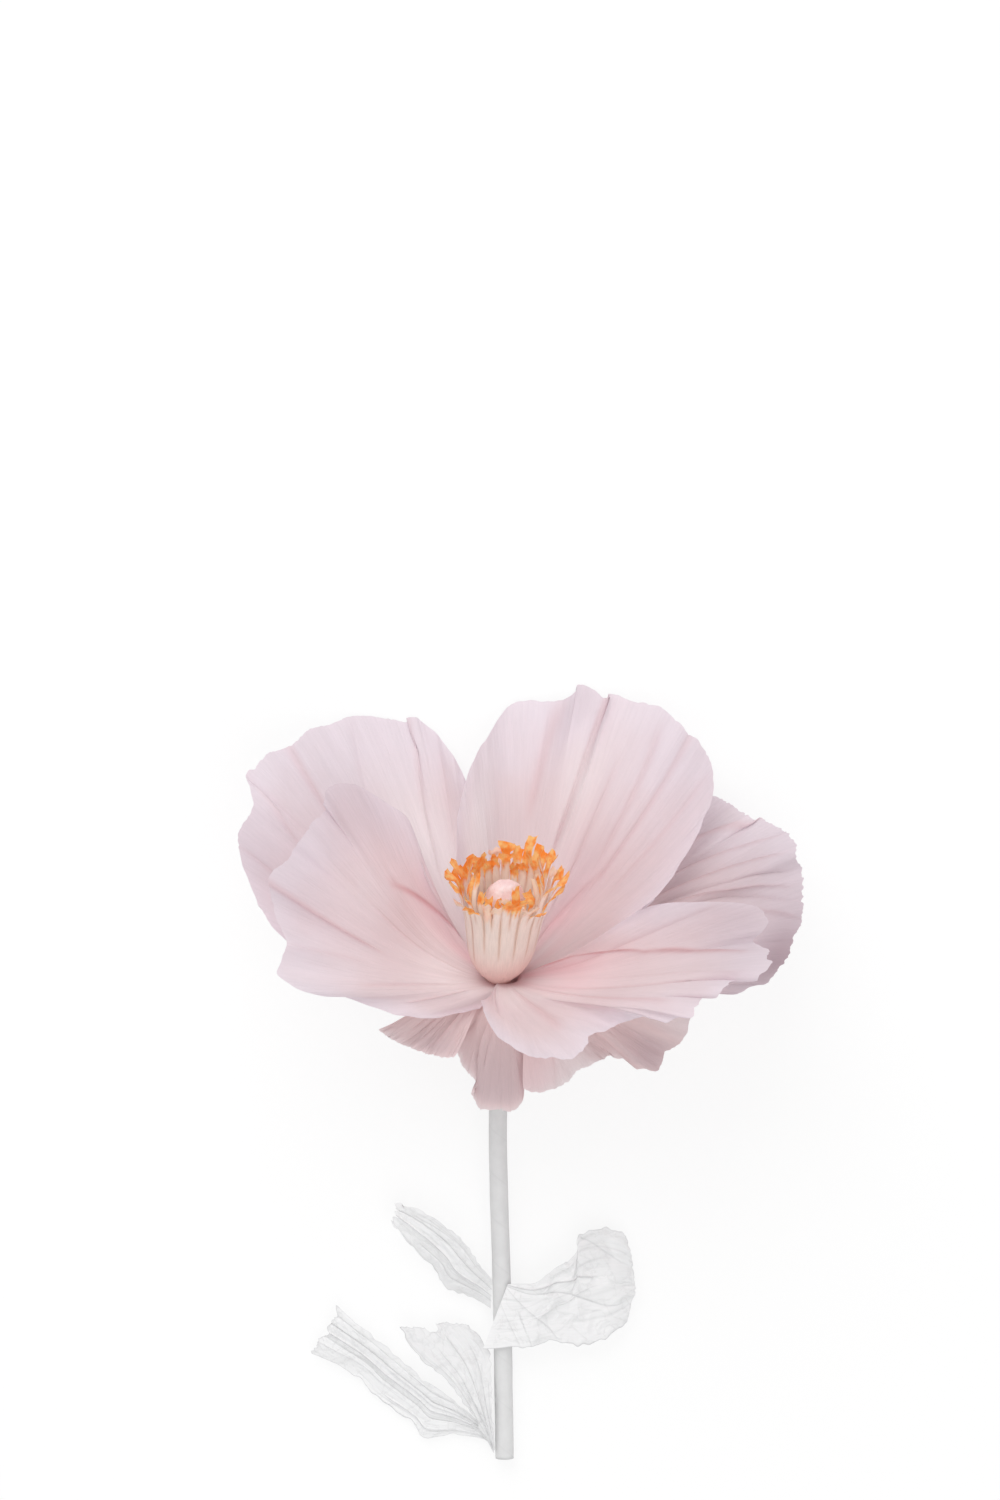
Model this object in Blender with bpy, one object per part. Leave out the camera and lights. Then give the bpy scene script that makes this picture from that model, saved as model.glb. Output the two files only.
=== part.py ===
"""Crepe paper rose: an open five-petal bloom on a paper-wrapped wire stem with four leaves.

The flower lies on its back as it comes to rest, on the rims of its two back petals and on
the cut end of its stem. X runs across the bloom, Y from the stem's end to the bloom, Z up.
The bloom is built in its own frame, whose Z is the bloom's axis: a place on a petal's rim is
an azimuth round that axis, an opening away from it, and a reach from the neck.
"""
import math

import bmesh
import bpy
from mathutils import Vector

MM = 0.001

# Sheet and fits
PAPER = 0.4 * MM
CLEARANCE = 0.3 * MM

# Stem: a wire core inside a round wrap of paper. Its bends are (side, along, height) in
# hundredths of its length, from the neck to the cut end
STEM_LENGTH = 145 * MM
WIRE_RADIUS = 1.0 * MM
STEM_RADIUS = 2.8 * MM
STEM_SIDES = 12
STEM_PARTS = 13
NOD = math.radians(30)
STEM_BENDS = [(-0.9, -12.4, -10.3), (-1.9, -26.2, -15.6), (-1.7, -44.8, -18.6),
              (-1.0, -64.1, -20.7), (-0.5, -100, -22.3)]

# Neck: the claws of the petals sit round the stem in layers, and a strip binds them
NECK_TOP = 2.4 * MM
LAYER_STEP = 0.4 * MM
CLAW_TOP_STEP = 0.9 * MM
CLAW_LENGTH = 8.4 * MM
CLAW_BEND = 1.8 * MM
BINDING_WIDTH = 3.2 * MM
BINDING_THICKNESS = 0.8 * MM

# Petals: columns run across a petal and rows run from its claw to its rim
PETAL_COLUMNS = 16
PETAL_ROWS = 8
UNDER_COLUMNS = 9
UNDER_ROWS = 4
RUFFLE = 1.1 * MM
PLEAT = 3.2 * MM

# Each petal: layer at the claw, middle and width of the claw in degrees, rise of the sheet off
# the neck and roll of its rim in degrees, ruffles across the rim, place of a pleat across the
# petal, and the rim as (azimuth, opening, reach), the reach in hundredths of the petals' own
PETAL_REACH = 100 * MM
PETALS = {
    "petal_front_right": (0, 310, 116, 80, 3, 3.0, 0.38, [
        (238, 78, 15), (255, 78, 25), (267, 79, 40), (280, 79, 50), (290, 80, 52), (302, 79, 47),
        (312, 77, 48), (315, 74, 67), (318, 71, 77), (323, 69, 86), (328, 68, 94), (337, 68, 90),
        (343, 66, 86), (345, 63, 87), (348, 59, 77), (352, 56, 65), (355, 53, 52)]),
    "petal_back_right": (1, 68, 100, 76, -12, 3.5, 0.42, [
        (14, 61, 50), (20, 59, 65), (25, 56, 79), (30, 54, 89), (42, 53, 96), (54, 52, 100),
        (66, 52, 100), (74, 52, 101), (81, 51, 94), (90, 51, 91), (97, 48, 78), (107, 44, 64),
        (119, 42, 50), (125, 42, 42)]),
    "petal_front_left": (1, 188, 100, 78, -6, 3.0, 0.5, [
        (139, 43, 48), (140, 42, 60), (146, 42, 70), (155, 42, 79), (163, 44, 82), (177, 48, 81),
        (188, 55, 85), (191, 60, 83), (197, 66, 76), (202, 71, 76), (205, 75, 68), (207, 79, 53),
        (214, 84, 38), (226, 87, 25), (240, 87, 21)]),
    "petal_back_left": (2, 146, 96, 80, -8, 3.5, 0.6, [
        (106, 51, 72), (109, 54, 88), (114, 56, 94), (125, 57, 100), (141, 57, 100), (151, 58, 102),
        (157, 60, 100), (166, 63, 93), (173, 66, 84), (181, 70, 75), (186, 73, 68)]),
    "petal_right": (2, 14, 96, 82, 4, 4.5, 0.35, [
        (349, 84, 66), (353, 83, 78), (2, 82, 86), (9, 79, 92), (13, 75, 95), (16, 70, 96),
        (24, 67, 94), (32, 66, 90), (39, 65, 89), (46, 65, 80)]),
}
UNDER_REACH = 55 * MM
UNDER_PETALS = {
    "under_petal_left": (3, 206, 46, 92, 10, 1.5, 0.5, [
        (186, 103, 71), (193, 107, 70), (203, 110, 62), (217, 114, 55), (228, 118, 49)]),
    "under_petal_front": (4, 248, 88, 104, 10, 2.0, 0.5, [
        (182, 114, 46), (191, 118, 45), (202, 124, 44), (220, 135, 47), (236, 146, 56),
        (242, 150, 65), (263, 151, 66), (279, 150, 65), (289, 146, 56)]),
    "under_petal_right": (3, 328, 66, 98, 6, 2.0, 0.6, [
        (287, 136, 55), (303, 137, 60), (326, 136, 62), (341, 132, 62), (357, 128, 71),
        (357, 121, 95), (2, 113, 100), (6, 104, 104)]),
    "under_petal_back_right": (3, 44, 58, 96, 8, 1.5, 0.5, [
        (15, 110, 66), (28, 116, 73), (46, 119, 69), (64, 118, 62), (76, 112, 55)]),
    "under_petal_back_left": (3, 120, 58, 96, 8, 1.5, 0.5, [
        (92, 113, 55), (105, 117, 60), (121, 119, 65), (138, 118, 69), (152, 112, 62)]),
}

# Stamens: two fringed cups round a ball. Their outlines run from the floor to the strips' tips
# as (radius, height) in hundredths of the cup's own radius and height
CUP_RADIUS = 16 * MM
CUP_HEIGHT = 36 * MM
FRINGE_OUTER = [(20, 0), (36, 4), (50, 12), (60, 24), (68, 42), (76, 64), (90, 86), (108, 98)]
FRINGE_INNER = [(16, 6), (28, 10), (40, 18), (49, 30), (56, 46), (63, 66), (74, 86), (70, 101)]
FRINGE_BAND = 4
FRINGE_OUTER_STRIPS = 16
FRINGE_INNER_STRIPS = 14
STRIP_FILL = 0.84
STRIP_LENGTH_VARIATION = 2.0 * MM
BALL_RADIUS = 6.0 * MM
BALL_RISE = 26 * MM
BALL_SOCKET = 3.8 * MM
BALL_SIDES = 16

# Leaves: place on the stem in hundredths of its length, then the two long edges. An edge starts
# at a foot on the stem, (side, along, angle round the stem) in mm and degrees, and goes on to the
# tip as (side, along, height) in hundredths of the leaves' reach. Last, the folds and their height
LEAF_REACH = 50 * MM
LEAF_COLUMNS = 8
LEAF_ROWS = 11
LEAVES = {
    "leaf_upper_left": (
        64, (0, 3, 150), [(-15, 18, 14), (-23, 30, 18), (-37, 42, 18), (-51, 50, 14), (-63, 52, 10)],
        (0, -6, 190), [(-13, -8, -4), (-23, -4, -4), (-35, 2, -4), (-43, 16, 0), (-55, 26, 4),
                       (-65, 40, 8)],
        3.0, 1.6),
    "leaf_right": (
        64, (0, 2, 70), [(20, 6, 12), (33, 14, 12), (47, 26, 10), (51, 34, 8), (67, 36, 6),
                         (79, 32, 4)],
        (-5.8, -18, 90), [(6, -35, 7), (17, -34, 8), (29, -32, 6), (49, -34, 4), (65, -30, 2),
                          (75, -24, 0)],
        5.0, 1.8),
    "leaf_lower_left": (
        98, (0, 4, 176), [(-28, 29, 3), (-46, 41, 4), (-64, 57, 6), (-88, 77, 8), (-100, 85, 6)],
        (0, -1.5, 192), [(-12, 6, -2), (-30, 9, -2), (-48, 9, -2), (-56, 17, -2), (-76, 33, -2),
                         (-90, 45, -2), (-114, 59, 0)],
        4.0, 1.3),
    "leaf_lower_middle": (
        98, (0, 0.5, 140), [(-8, 27, 10), (-8, 51, 8), (-12, 65, 5), (-22, 76, 5)],
        (0, -0.5, 164), [(-15, 15, 8), (-26, 33, 12), (-38, 47, 12), (-52, 59, 12), (-62, 75, 10)],
        3.0, 1.4),
}

# Colours as linear (red, green, blue) with roughness
PETAL_PINK = ((0.83, 0.70, 0.74), 0.85)
UNDER_PINK = ((0.72, 0.52, 0.53), 0.85)
CUP_CREAM = ((0.85, 0.62, 0.50), 0.8)
TIP_ORANGE = ((0.95, 0.40, 0.08), 0.75)
BALL_PINK = ((0.80, 0.58, 0.56), 0.8)
STEM_WHITE = ((0.70, 0.72, 0.72), 0.6)
LEAF_WHITE = ((0.82, 0.83, 0.84), 0.7)
WIRE_GREY = ((0.35, 0.35, 0.36), 0.45)


def clear_scene():
    for obj in list(bpy.data.objects):
        bpy.data.objects.remove(obj, do_unlink=True)


def material(name, look, metallic=0.0):
    colour, roughness = look
    made = bpy.data.materials.new(name)
    made.use_nodes = True
    shader = made.node_tree.nodes["Principled BSDF"]
    shader.inputs["Base Color"].default_value = (*colour, 1.0)
    shader.inputs["Roughness"].default_value = roughness
    shader.inputs["Metallic"].default_value = metallic
    return made


def empty(name, parent=None):
    made = bpy.data.objects.new(name, None)
    bpy.context.scene.collection.objects.link(made)
    made.parent = parent
    return made


def piece(name, points, faces, parent, look, metallic=0.0):
    mesh = bpy.data.meshes.new(name)
    mesh.from_pydata([tuple(p) for p in points], [], faces)
    mesh.materials.append(material(name + "_material", look, metallic))
    for polygon in mesh.polygons:
        polygon.use_smooth = True
    made = bpy.data.objects.new(name, mesh)
    bpy.context.scene.collection.objects.link(made)
    made.parent = parent
    return made


def face_outward(obj):
    body = bmesh.new()
    body.from_mesh(obj.data)
    bmesh.ops.recalc_face_normals(body, faces=body.faces)
    body.to_mesh(obj.data)
    body.free()


def thicken(obj):
    """Give a sheet its paper thickness, half to each side."""
    solid = obj.modifiers.new("paper", "SOLIDIFY")
    solid.thickness = PAPER
    solid.offset = 0.0
    solid.use_even_offset = True
    solid.thickness_clamp = 0.0


def smooth_curve(points, count):
    """Return count + 1 places spaced evenly along a smooth curve through the points."""
    fine = []
    for i in range(len(points) - 1):
        before = points[max(i - 1, 0)]
        start, end = points[i], points[i + 1]
        after = points[min(i + 2, len(points) - 1)]
        for step in range(12):
            t = step / 12
            blend = (start * 2 + (end - before) * t
                     + (before * 2 - start * 5 + end * 4 - after) * t * t
                     + (start * 3 - before - end * 3 + after) * t ** 3)
            fine.append(blend * 0.5)
    fine.append(points[-1].copy())
    lengths = [0.0]
    for a, b in zip(fine, fine[1:]):
        lengths.append(lengths[-1] + (b - a).length)
    spaced = []
    k = 0
    for i in range(count + 1):
        target = lengths[-1] * i / count
        while k < len(fine) - 2 and lengths[k + 1] < target:
            k += 1
        span = lengths[k + 1] - lengths[k]
        spaced.append(fine[k].lerp(fine[k + 1], (target - lengths[k]) / span))
    return spaced


def round_axis(azimuth, radius, height):
    return Vector((radius * math.cos(azimuth), radius * math.sin(azimuth), height))


def rim_place(azimuth, opening, reach):
    """Place on the bloom from an azimuth and an opening in degrees and a reach from the neck."""
    turn, tilt = math.radians(azimuth), math.radians(opening)
    return round_axis(turn, reach * math.sin(tilt), reach * math.cos(tilt))


def layer_radius(layer):
    return STEM_RADIUS + CLEARANCE + PAPER / 2 + layer * (PAPER + LAYER_STEP)


def bezier(a, b, c, d, t):
    s = 1 - t
    return a * s ** 3 + b * (3 * s * s * t) + c * (3 * s * t * t) + d * t ** 3


def grid_faces(rows, columns):
    """Quads between rows of places, each row holding columns places."""
    faces = []
    for i in range(rows - 1):
        for j in range(columns - 1):
            low = i * columns + j
            faces.append((low, low + 1, low + columns + 1, low + columns))
    return faces


def petal_ray(rim, claw_azimuth, layer, rise, roll, rows):
    """One line of a petal: down in the claw, round the neck's edge and out to the rim."""
    radius = layer_radius(layer)
    top = NECK_TOP - CLAW_TOP_STEP * layer
    turn = math.radians(rise)
    foot = round_axis(claw_azimuth, radius, NECK_TOP - CLAW_LENGTH)
    line = [foot, round_axis(claw_azimuth, radius, top)]
    for share in (0.5, 1.0):
        angle = turn * share
        out = radius + CLAW_BEND * (1 - math.cos(angle))
        line.append(round_axis(claw_azimuth, out, top + CLAW_BEND * math.sin(angle)))
    start = line[-1]
    rim_azimuth = math.atan2(rim.y, rim.x)
    opening = math.atan2(math.hypot(rim.x, rim.y), rim.z)
    reach = (rim - start).length / 3
    leave = round_axis(claw_azimuth, math.sin(turn), math.cos(turn))
    arrive_at = opening + math.radians(roll)
    arrive = round_axis(rim_azimuth, math.sin(arrive_at), math.cos(arrive_at))
    for i in range(1, rows + 1):
        line.append(bezier(start, start + leave * reach, rim - arrive * reach, rim, i / rows))
    return line


def petal(name, spec, reach, columns, rows, parent, look):
    layer, middle, width, rise, roll, ruffles, pleat, rim = spec
    corners = [rim_place(azimuth, opening, reach * far / 100) for azimuth, opening, far in rim]
    rims = smooth_curve(corners, columns)
    points = []
    for i, edge in enumerate(rims):
        across = i / columns
        claw = math.radians(middle + (across - 0.5) * width)
        opening = math.atan2(math.hypot(edge.x, edge.y), edge.z)
        azimuth = math.atan2(edge.y, edge.x)
        out = round_axis(azimuth, math.cos(opening), -math.sin(opening))
        wave = RUFFLE * math.sin(2 * math.pi * ruffles * across)
        crease = PLEAT * max(0.0, 1 - abs(across - pleat) * columns / 1.5)
        line = petal_ray(edge, claw, layer, rise, roll, rows)
        for j, place in enumerate(line):
            along = max(0.0, (j - 3) / rows)
            points.append(place + out * (wave + crease) * along ** 2)
    made = piece(name, points, grid_faces(columns + 1, rows + 4), parent, look)
    thicken(made)
    return made


def leaf_edge(share, foot, outline):
    """One long edge of a leaf, from its foot on the stem's surface to its tip."""
    side, along, around = foot
    seat = stem_place(STEM_LENGTH * share / 100 - along * MM)
    off = STEM_RADIUS + CLEARANCE + PAPER / 2
    turn = math.radians(around)
    start = seat + Vector((side * MM + off * math.cos(turn), 0, off * math.sin(turn)))
    joint = stem_place(STEM_LENGTH * share / 100)
    edge = [start] + [joint + Vector(place) * (LEAF_REACH / 100) for place in outline]
    return smooth_curve(edge, LEAF_ROWS)


def leaf(name, spec, parent):
    share, upper_foot, upper, lower_foot, lower, folds, height = spec
    top = leaf_edge(share, upper_foot, upper)
    bottom = leaf_edge(share, lower_foot, lower)
    points = []
    for i in range(LEAF_ROWS + 1):
        along = i / LEAF_ROWS
        for j in range(LEAF_COLUMNS + 1):
            across = j / LEAF_COLUMNS
            place = top[i].lerp(bottom[i], across)
            swell = min(1.0, along * 2.5)
            place.z += height * MM * swell * math.sin(math.pi * (folds * across + 0.8 * along))
            points.append(place)
    faces = grid_faces(LEAF_ROWS + 1, LEAF_COLUMNS + 1)
    made = piece(name, points, faces, parent, LEAF_WHITE)
    thicken(made)
    return made


def cup_floor():
    """Height of the outer cup's floor, clear of the innermost petal where it leaves the neck."""
    return NECK_TOP + CLAW_BEND + PAPER + CLEARANCE


def fringe(name, profile, strips, lift, parent):
    """A paper cup whose upper part is slit into strips with bent tips."""
    hole = WIRE_RADIUS + CLEARANCE
    outline = [(r * CUP_RADIUS / 100, cup_floor() + h * CUP_HEIGHT / 100) for r, h in profile]
    outline.insert(0, (hole, outline[0][1]))
    band = FRINGE_BAND + 1
    points = []
    for k in range(strips):
        swing = STRIP_LENGTH_VARIATION * math.sin(k * 2.4 + lift)
        for side in (0.0, STRIP_FILL):
            for j, (radius, height) in enumerate(outline):
                above = max(0, j - band + 1) / (len(outline) - band)
                azimuth = 2 * math.pi * (k + side * (1 - 0.12 * above)) / strips
                points.append(round_axis(azimuth, radius, height + swing * above ** 3))
    tall = len(outline)
    faces = []
    for k in range(strips * 2):
        following = (k + 1) % (strips * 2)
        reach = tall if k % 2 == 0 else band
        for j in range(reach - 1):
            a, b = k * tall + j, following * tall + j
            faces.append((a, b, b + 1, a + 1))
    used = sorted({index for face in faces for index in face})
    place = {old: new for new, old in enumerate(used)}
    faces = [tuple(place[index] for index in face) for face in faces]
    made = piece(name, [points[old] for old in used], faces, parent, CUP_CREAM)
    tips = material(name + "_tip_material", TIP_ORANGE)
    made.data.materials.append(tips)
    tip_height = outline[-2][1]
    for polygon in made.data.polygons:
        if polygon.center.z > tip_height:
            polygon.material_index = 1
    thicken(made)
    return made


def lathe(name, outline, sides, parent, look, closed=False):
    """Turn an outline of (radius, height) round the bloom's axis."""
    points, rings = [], []
    for radius, height in outline:
        if radius == 0:
            rings.append([len(points)] * sides)
            points.append(Vector((0, 0, height)))
            continue
        rings.append([len(points) + k for k in range(sides)])
        points += [round_axis(2 * math.pi * k / sides, radius, height) for k in range(sides)]
    pairs = list(zip(rings, rings[1:]))
    if closed:
        pairs.append((rings[-1], rings[0]))
    faces = []
    for low, high in pairs:
        for k in range(sides):
            n = (k + 1) % sides
            corners = (low[k], low[n], high[n], high[k])
            faces.append(tuple(dict.fromkeys(corners)))
    made = piece(name, points, faces, parent, look)
    face_outward(made)
    return made


def ball_outline():
    """Outline of the ball from the top of its blind socket, round the outside, to its crown."""
    socket = WIRE_RADIUS + CLEARANCE
    middle = cup_floor() + BALL_RISE
    low = middle - math.sqrt(BALL_RADIUS ** 2 - socket ** 2)
    outline = [(0, low + BALL_SOCKET), (socket, low + BALL_SOCKET), (socket, low)]
    first = math.asin(socket / BALL_RADIUS)
    rings = 9
    for i in range(1, rings):
        angle = first + (math.pi - first) * i / rings
        outline.append((BALL_RADIUS * math.sin(angle), middle - BALL_RADIUS * math.cos(angle)))
    outline.append((0, middle + BALL_RADIUS))
    return outline


def stem_line(above):
    """Centre line of the stem from a height on the bloom's axis to its cut end."""
    axis = Vector((0, math.cos(NOD), math.sin(NOD)))
    bends = [Vector(place) * (STEM_LENGTH / 100) for place in STEM_BENDS]
    neck_end = axis * (NECK_TOP - CLAW_LENGTH - CLEARANCE)
    return [axis * above] + smooth_curve([neck_end] + bends, STEM_PARTS)


def stem_place(distance):
    """Place on the stem's centre line at a distance from the neck in plan."""
    line = stem_line(NECK_TOP)
    for start, end in zip(line, line[1:]):
        if end.y <= -distance:
            return start.lerp(end, (start.y + distance) / (start.y - end.y))
    return line[-1]


def tube(name, line, outer, inner, sides, parent, look, metallic=0.0):
    """Sweep a round section along a line, with a bore where inner isn't zero."""
    points, rings = [], []
    side = Vector((1, 0, 0))
    for i, centre in enumerate(line):
        ahead = line[min(i + 1, len(line) - 1)] - line[max(i - 1, 0)]
        if i in (0, len(line) - 1):
            neighbour = line[1] if i == 0 else line[-2]
            ahead = (centre - neighbour) if i else (neighbour - centre)
        ahead.normalize()
        across = (side - ahead * side.dot(ahead)).normalized()
        up = ahead.cross(across)
        ring = []
        for radius in (outer, inner):
            for k in range(sides if radius else 0):
                angle = 2 * math.pi * k / sides
                ring.append(len(points))
                points.append(centre + (across * math.cos(angle) + up * math.sin(angle)) * radius)
        rings.append(ring)
    faces = []
    for low, high in zip(rings, rings[1:]):
        for k in range(sides):
            n = (k + 1) % sides
            faces.append((low[k], low[n], high[n], high[k]))
            if inner:
                faces.append((low[sides + n], low[sides + k], high[sides + k], high[sides + n]))
    for ring in (rings[0], rings[-1]):
        if not inner:
            faces.append(tuple(ring))
            continue
        for k in range(sides):
            n = (k + 1) % sides
            faces.append((ring[k], ring[n], ring[sides + n], ring[sides + k]))
    made = piece(name, points, faces, parent, look, metallic)
    face_outward(made)
    return made


def binding_outline():
    inner = layer_radius(4) + PAPER / 2 + CLEARANCE
    outer = inner + BINDING_THICKNESS
    corner = BINDING_THICKNESS / 3
    low = NECK_TOP - CLAW_LENGTH
    high = low + BINDING_WIDTH
    return [(inner, low), (outer - corner, low), (outer, low + corner),
            (outer, high - corner), (outer - corner, high), (inner, high)]


def lowest_and_middle():
    """Shift that puts the middle of the part's box over the origin and its floor at zero."""
    bpy.context.view_layer.update()
    depsgraph = bpy.context.evaluated_depsgraph_get()
    corners = []
    for obj in bpy.context.scene.objects:
        if obj.type == "MESH":
            seen = obj.evaluated_get(depsgraph)
            corners += [obj.matrix_world @ v.co for v in seen.data.vertices]
    low = [min(c[i] for c in corners) for i in range(3)]
    high = [max(c[i] for c in corners) for i in range(3)]
    return Vector((-(low[0] + high[0]) / 2, -(low[1] + high[1]) / 2, -low[2]))


def build_stem(root):
    wire_top = ball_outline()[0][1] - CLEARANCE
    tube("stem_wire", stem_line(wire_top), WIRE_RADIUS, 0, 8, root, WIRE_GREY, 0.8)
    bore = WIRE_RADIUS + CLEARANCE
    tube("stem_wrap", stem_line(NECK_TOP), STEM_RADIUS, bore, STEM_SIDES, root, STEM_WHITE)


def build_bloom(head):
    for name, spec in PETALS.items():
        petal(name, spec, PETAL_REACH, PETAL_COLUMNS, PETAL_ROWS, head, PETAL_PINK)
    for name, spec in UNDER_PETALS.items():
        petal(name, spec, UNDER_REACH, UNDER_COLUMNS, UNDER_ROWS, head, UNDER_PINK)
    lathe("neck_binding", binding_outline(), 20, head, UNDER_PINK, closed=True)
    fringe("stamen_fringe_outer", FRINGE_OUTER, FRINGE_OUTER_STRIPS, 0.0, head)
    fringe("stamen_fringe_inner", FRINGE_INNER, FRINGE_INNER_STRIPS, 1.0, head)
    lathe("pistil_ball", ball_outline(), BALL_SIDES, head, BALL_PINK)


def build():
    clear_scene()
    root = empty("flower")
    head = empty("bloom", root)
    head.rotation_euler = (NOD - math.pi / 2, 0, 0)
    build_stem(root)
    build_bloom(head)
    for name, spec in LEAVES.items():
        leaf(name, spec, root)
    root.location = lowest_and_middle()


build()
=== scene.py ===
"""Looks of the crepe paper rose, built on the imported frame.

Each sheet of paper is made again on the line that its CAD solid follows, with the creases,
torn rims and crumples of crepe paper, and stands for that solid. The bloom's own frame has its
Z on the bloom's axis. All sizes are in millimetres until a mesh is made.
"""

import math

import bpy
import numpy as np
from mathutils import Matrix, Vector


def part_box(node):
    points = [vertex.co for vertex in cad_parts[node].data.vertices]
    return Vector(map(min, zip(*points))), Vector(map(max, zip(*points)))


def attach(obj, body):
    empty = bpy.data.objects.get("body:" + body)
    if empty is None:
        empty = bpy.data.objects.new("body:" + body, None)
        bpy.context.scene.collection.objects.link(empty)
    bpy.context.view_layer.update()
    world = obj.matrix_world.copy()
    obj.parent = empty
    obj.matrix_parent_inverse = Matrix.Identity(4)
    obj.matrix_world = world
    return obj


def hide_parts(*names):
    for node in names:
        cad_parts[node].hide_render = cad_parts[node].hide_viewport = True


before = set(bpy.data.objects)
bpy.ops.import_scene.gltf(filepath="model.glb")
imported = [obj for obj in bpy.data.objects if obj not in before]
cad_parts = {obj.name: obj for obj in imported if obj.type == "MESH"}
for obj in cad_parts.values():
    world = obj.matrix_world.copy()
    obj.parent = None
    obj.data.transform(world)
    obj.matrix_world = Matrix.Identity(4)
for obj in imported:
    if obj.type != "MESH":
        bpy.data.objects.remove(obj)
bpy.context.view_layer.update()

MM = 0.001
TINY = 1e-9
SMOOTH_STEPS = 24
LATTICE = 96

# Neck of the bloom, in mm: its axis leans back from the floor, with the binding's middle on it
# and the petals' claws round it in layers
NOD = math.radians(30)
BINDING_BELOW_NECK = 4.4
CLAW_LOW = -6.0
NECK_TOP = 3.4
CLAW_TOP_STEP = 0.9
CLAW_BEND = 1.8
INNER_CLAW_RADIUS = 3.3
LAYER_SPACING = 0.8

# Camera straight above, as the photograph looks at the upright flower from the front
CAMERA_HEIGHT = 1500.0
CAMERA_ASIDE = (-2.1, 72.0)
CAMERA_LENS = 120.0
CAMERA_CLIP_END = 20.0
SENSOR_HEIGHT = 36.0

low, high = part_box("neck_binding")
UP_AXIS = Vector((0, math.cos(NOD), math.sin(NOD)))
NECK = (Vector(low) + Vector(high)) / 2 / MM + UP_AXIS * BINDING_BELOW_NECK
BLOOM = np.array([[1, 0, 0],
                  [0, math.sin(NOD), -math.cos(NOD)],
                  [0, math.cos(NOD), math.sin(NOD)]])


# Shapes

def smooth(points, count):
    """count + 1 places spaced evenly along a smooth curve through the points."""
    points = np.asarray(points, float)
    padded = np.vstack([points[:1], points, points[-1:]])
    fine = []
    for i in range(len(points) - 1):
        a, b, c, d = padded[i:i + 4]
        for t in np.linspace(0, 1, SMOOTH_STEPS, endpoint=False):
            fine.append(0.5 * (2 * b + (c - a) * t + (2 * a - 5 * b + 4 * c - d) * t * t
                               + (3 * b - a - 3 * c + d) * t ** 3))
    fine = np.array(fine + [points[-1]])
    lengths = np.concatenate([[0], np.cumsum(np.linalg.norm(np.diff(fine, axis=0), axis=1))])
    wanted = np.linspace(0, lengths[-1], count + 1)
    return np.stack([np.interp(wanted, lengths, values) for values in fine.T], 1)


def value_noise(x, y, seed):
    """Smooth noise from -1 to 1 whose bumps are about one unit apart."""
    lattice = np.random.default_rng(seed).uniform(-1, 1, (LATTICE + 1, LATTICE + 1))
    x, y = np.broadcast_arrays(np.asarray(x, float), np.asarray(y, float))
    column, row = np.floor(x).astype(int), np.floor(y).astype(int)
    fx, fy = x - column, y - row
    fx, fy = fx * fx * (3 - 2 * fx), fy * fy * (3 - 2 * fy)
    column, row = column % LATTICE, row % LATTICE
    near = lattice[column, row] * (1 - fx) + lattice[column + 1, row] * fx
    far = lattice[column, row + 1] * (1 - fx) + lattice[column + 1, row + 1] * fx
    return near * (1 - fy) + far * fy


def ramp(value, start, end):
    """0 below start, 1 above end, and smooth between."""
    t = np.clip((value - start) / (end - start), 0, 1)
    return t * t * (3 - 2 * t)


def unit(vectors):
    """The same directions with the length 1."""
    return vectors / np.maximum(np.linalg.norm(vectors, axis=-1, keepdims=True), TINY)


def grid_normals(grid):
    """Unit normals of a grid of places."""
    return unit(np.cross(np.gradient(grid, axis=0), np.gradient(grid, axis=1)))


def grid_faces(columns, rows, wrap=False):
    """Quads of a grid whose places are numbered along each column in turn."""
    i, j = np.meshgrid(np.arange(columns if wrap else columns - 1), np.arange(rows - 1),
                       indexing="ij")
    i, j = i.ravel(), j.ravel()
    n = (i + 1) % columns
    return np.stack([i * rows + j, n * rows + j, n * rows + j + 1, i * rows + j + 1], 1)


def to_world(places):
    """Places in the bloom's frame, in mm, as places in the part's frame, in mm."""
    return np.asarray(places) @ BLOOM + np.array(NECK)


def add_object(name, data):
    """A new object in the scene."""
    new = bpy.data.objects.new(name, data)
    bpy.context.scene.collection.objects.link(new)
    return new


def make_piece(name, places, faces, material, nodes, values=None):
    """A piece of the object from places in mm, standing for the CAD nodes named."""
    mesh = bpy.data.meshes.new(name)
    mesh.from_pydata((np.asarray(places) * MM).tolist(), [], [tuple(face) for face in faces])
    mesh.polygons.foreach_set("use_smooth", [True] * len(mesh.polygons))
    for key, numbers in (values or {}).items():
        attribute = mesh.attributes.new(key, "FLOAT", "POINT")
        attribute.data.foreach_set("value", np.asarray(numbers, np.float32).ravel())
    mesh.materials.append(material)
    mesh.update()
    piece = add_object(name, mesh)
    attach(piece, "root")
    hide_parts(*nodes)


# Materials: linear colours of the petals and of the ruff from the claw to the rim, where the
# petals' claw colour is paler than their paper, painted light against the shade deep in the bloom;
# then of their folds' painted shade, blushes, darker patches of painted shade and paler ones of
# painted light, and of the other papers, the wire and the floor

PETAL_TINTS = (0.98, 0.86, 0.87), (0.84, 0.68, 0.70), (0.88, 0.78, 0.84)
UNDER_TINTS = (0.90, 0.66, 0.65), (0.86, 0.67, 0.67), (0.84, 0.67, 0.68)
# Red-brown painted shade along the folds and where sheets meet
FOLD_SHADE = (0.66, 0.33, 0.34)
BLUSH_PINK = (1.0, 0.57, 0.63)
# Colours of the painted shade in darker patches and of the painted light in paler ones
PATCH_SHADE = (0.45, 0.33, 0.37)
PATCH_LIGHT = (1.0, 0.93, 0.94)
LEAF_WHITE = (0.935, 0.935, 0.94)
# Colour of the leaves' painted shade
LEAF_SHADE = (0.40, 0.40, 0.41)
OUTER_CREAM = (0.98, 0.86, 0.80)
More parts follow.
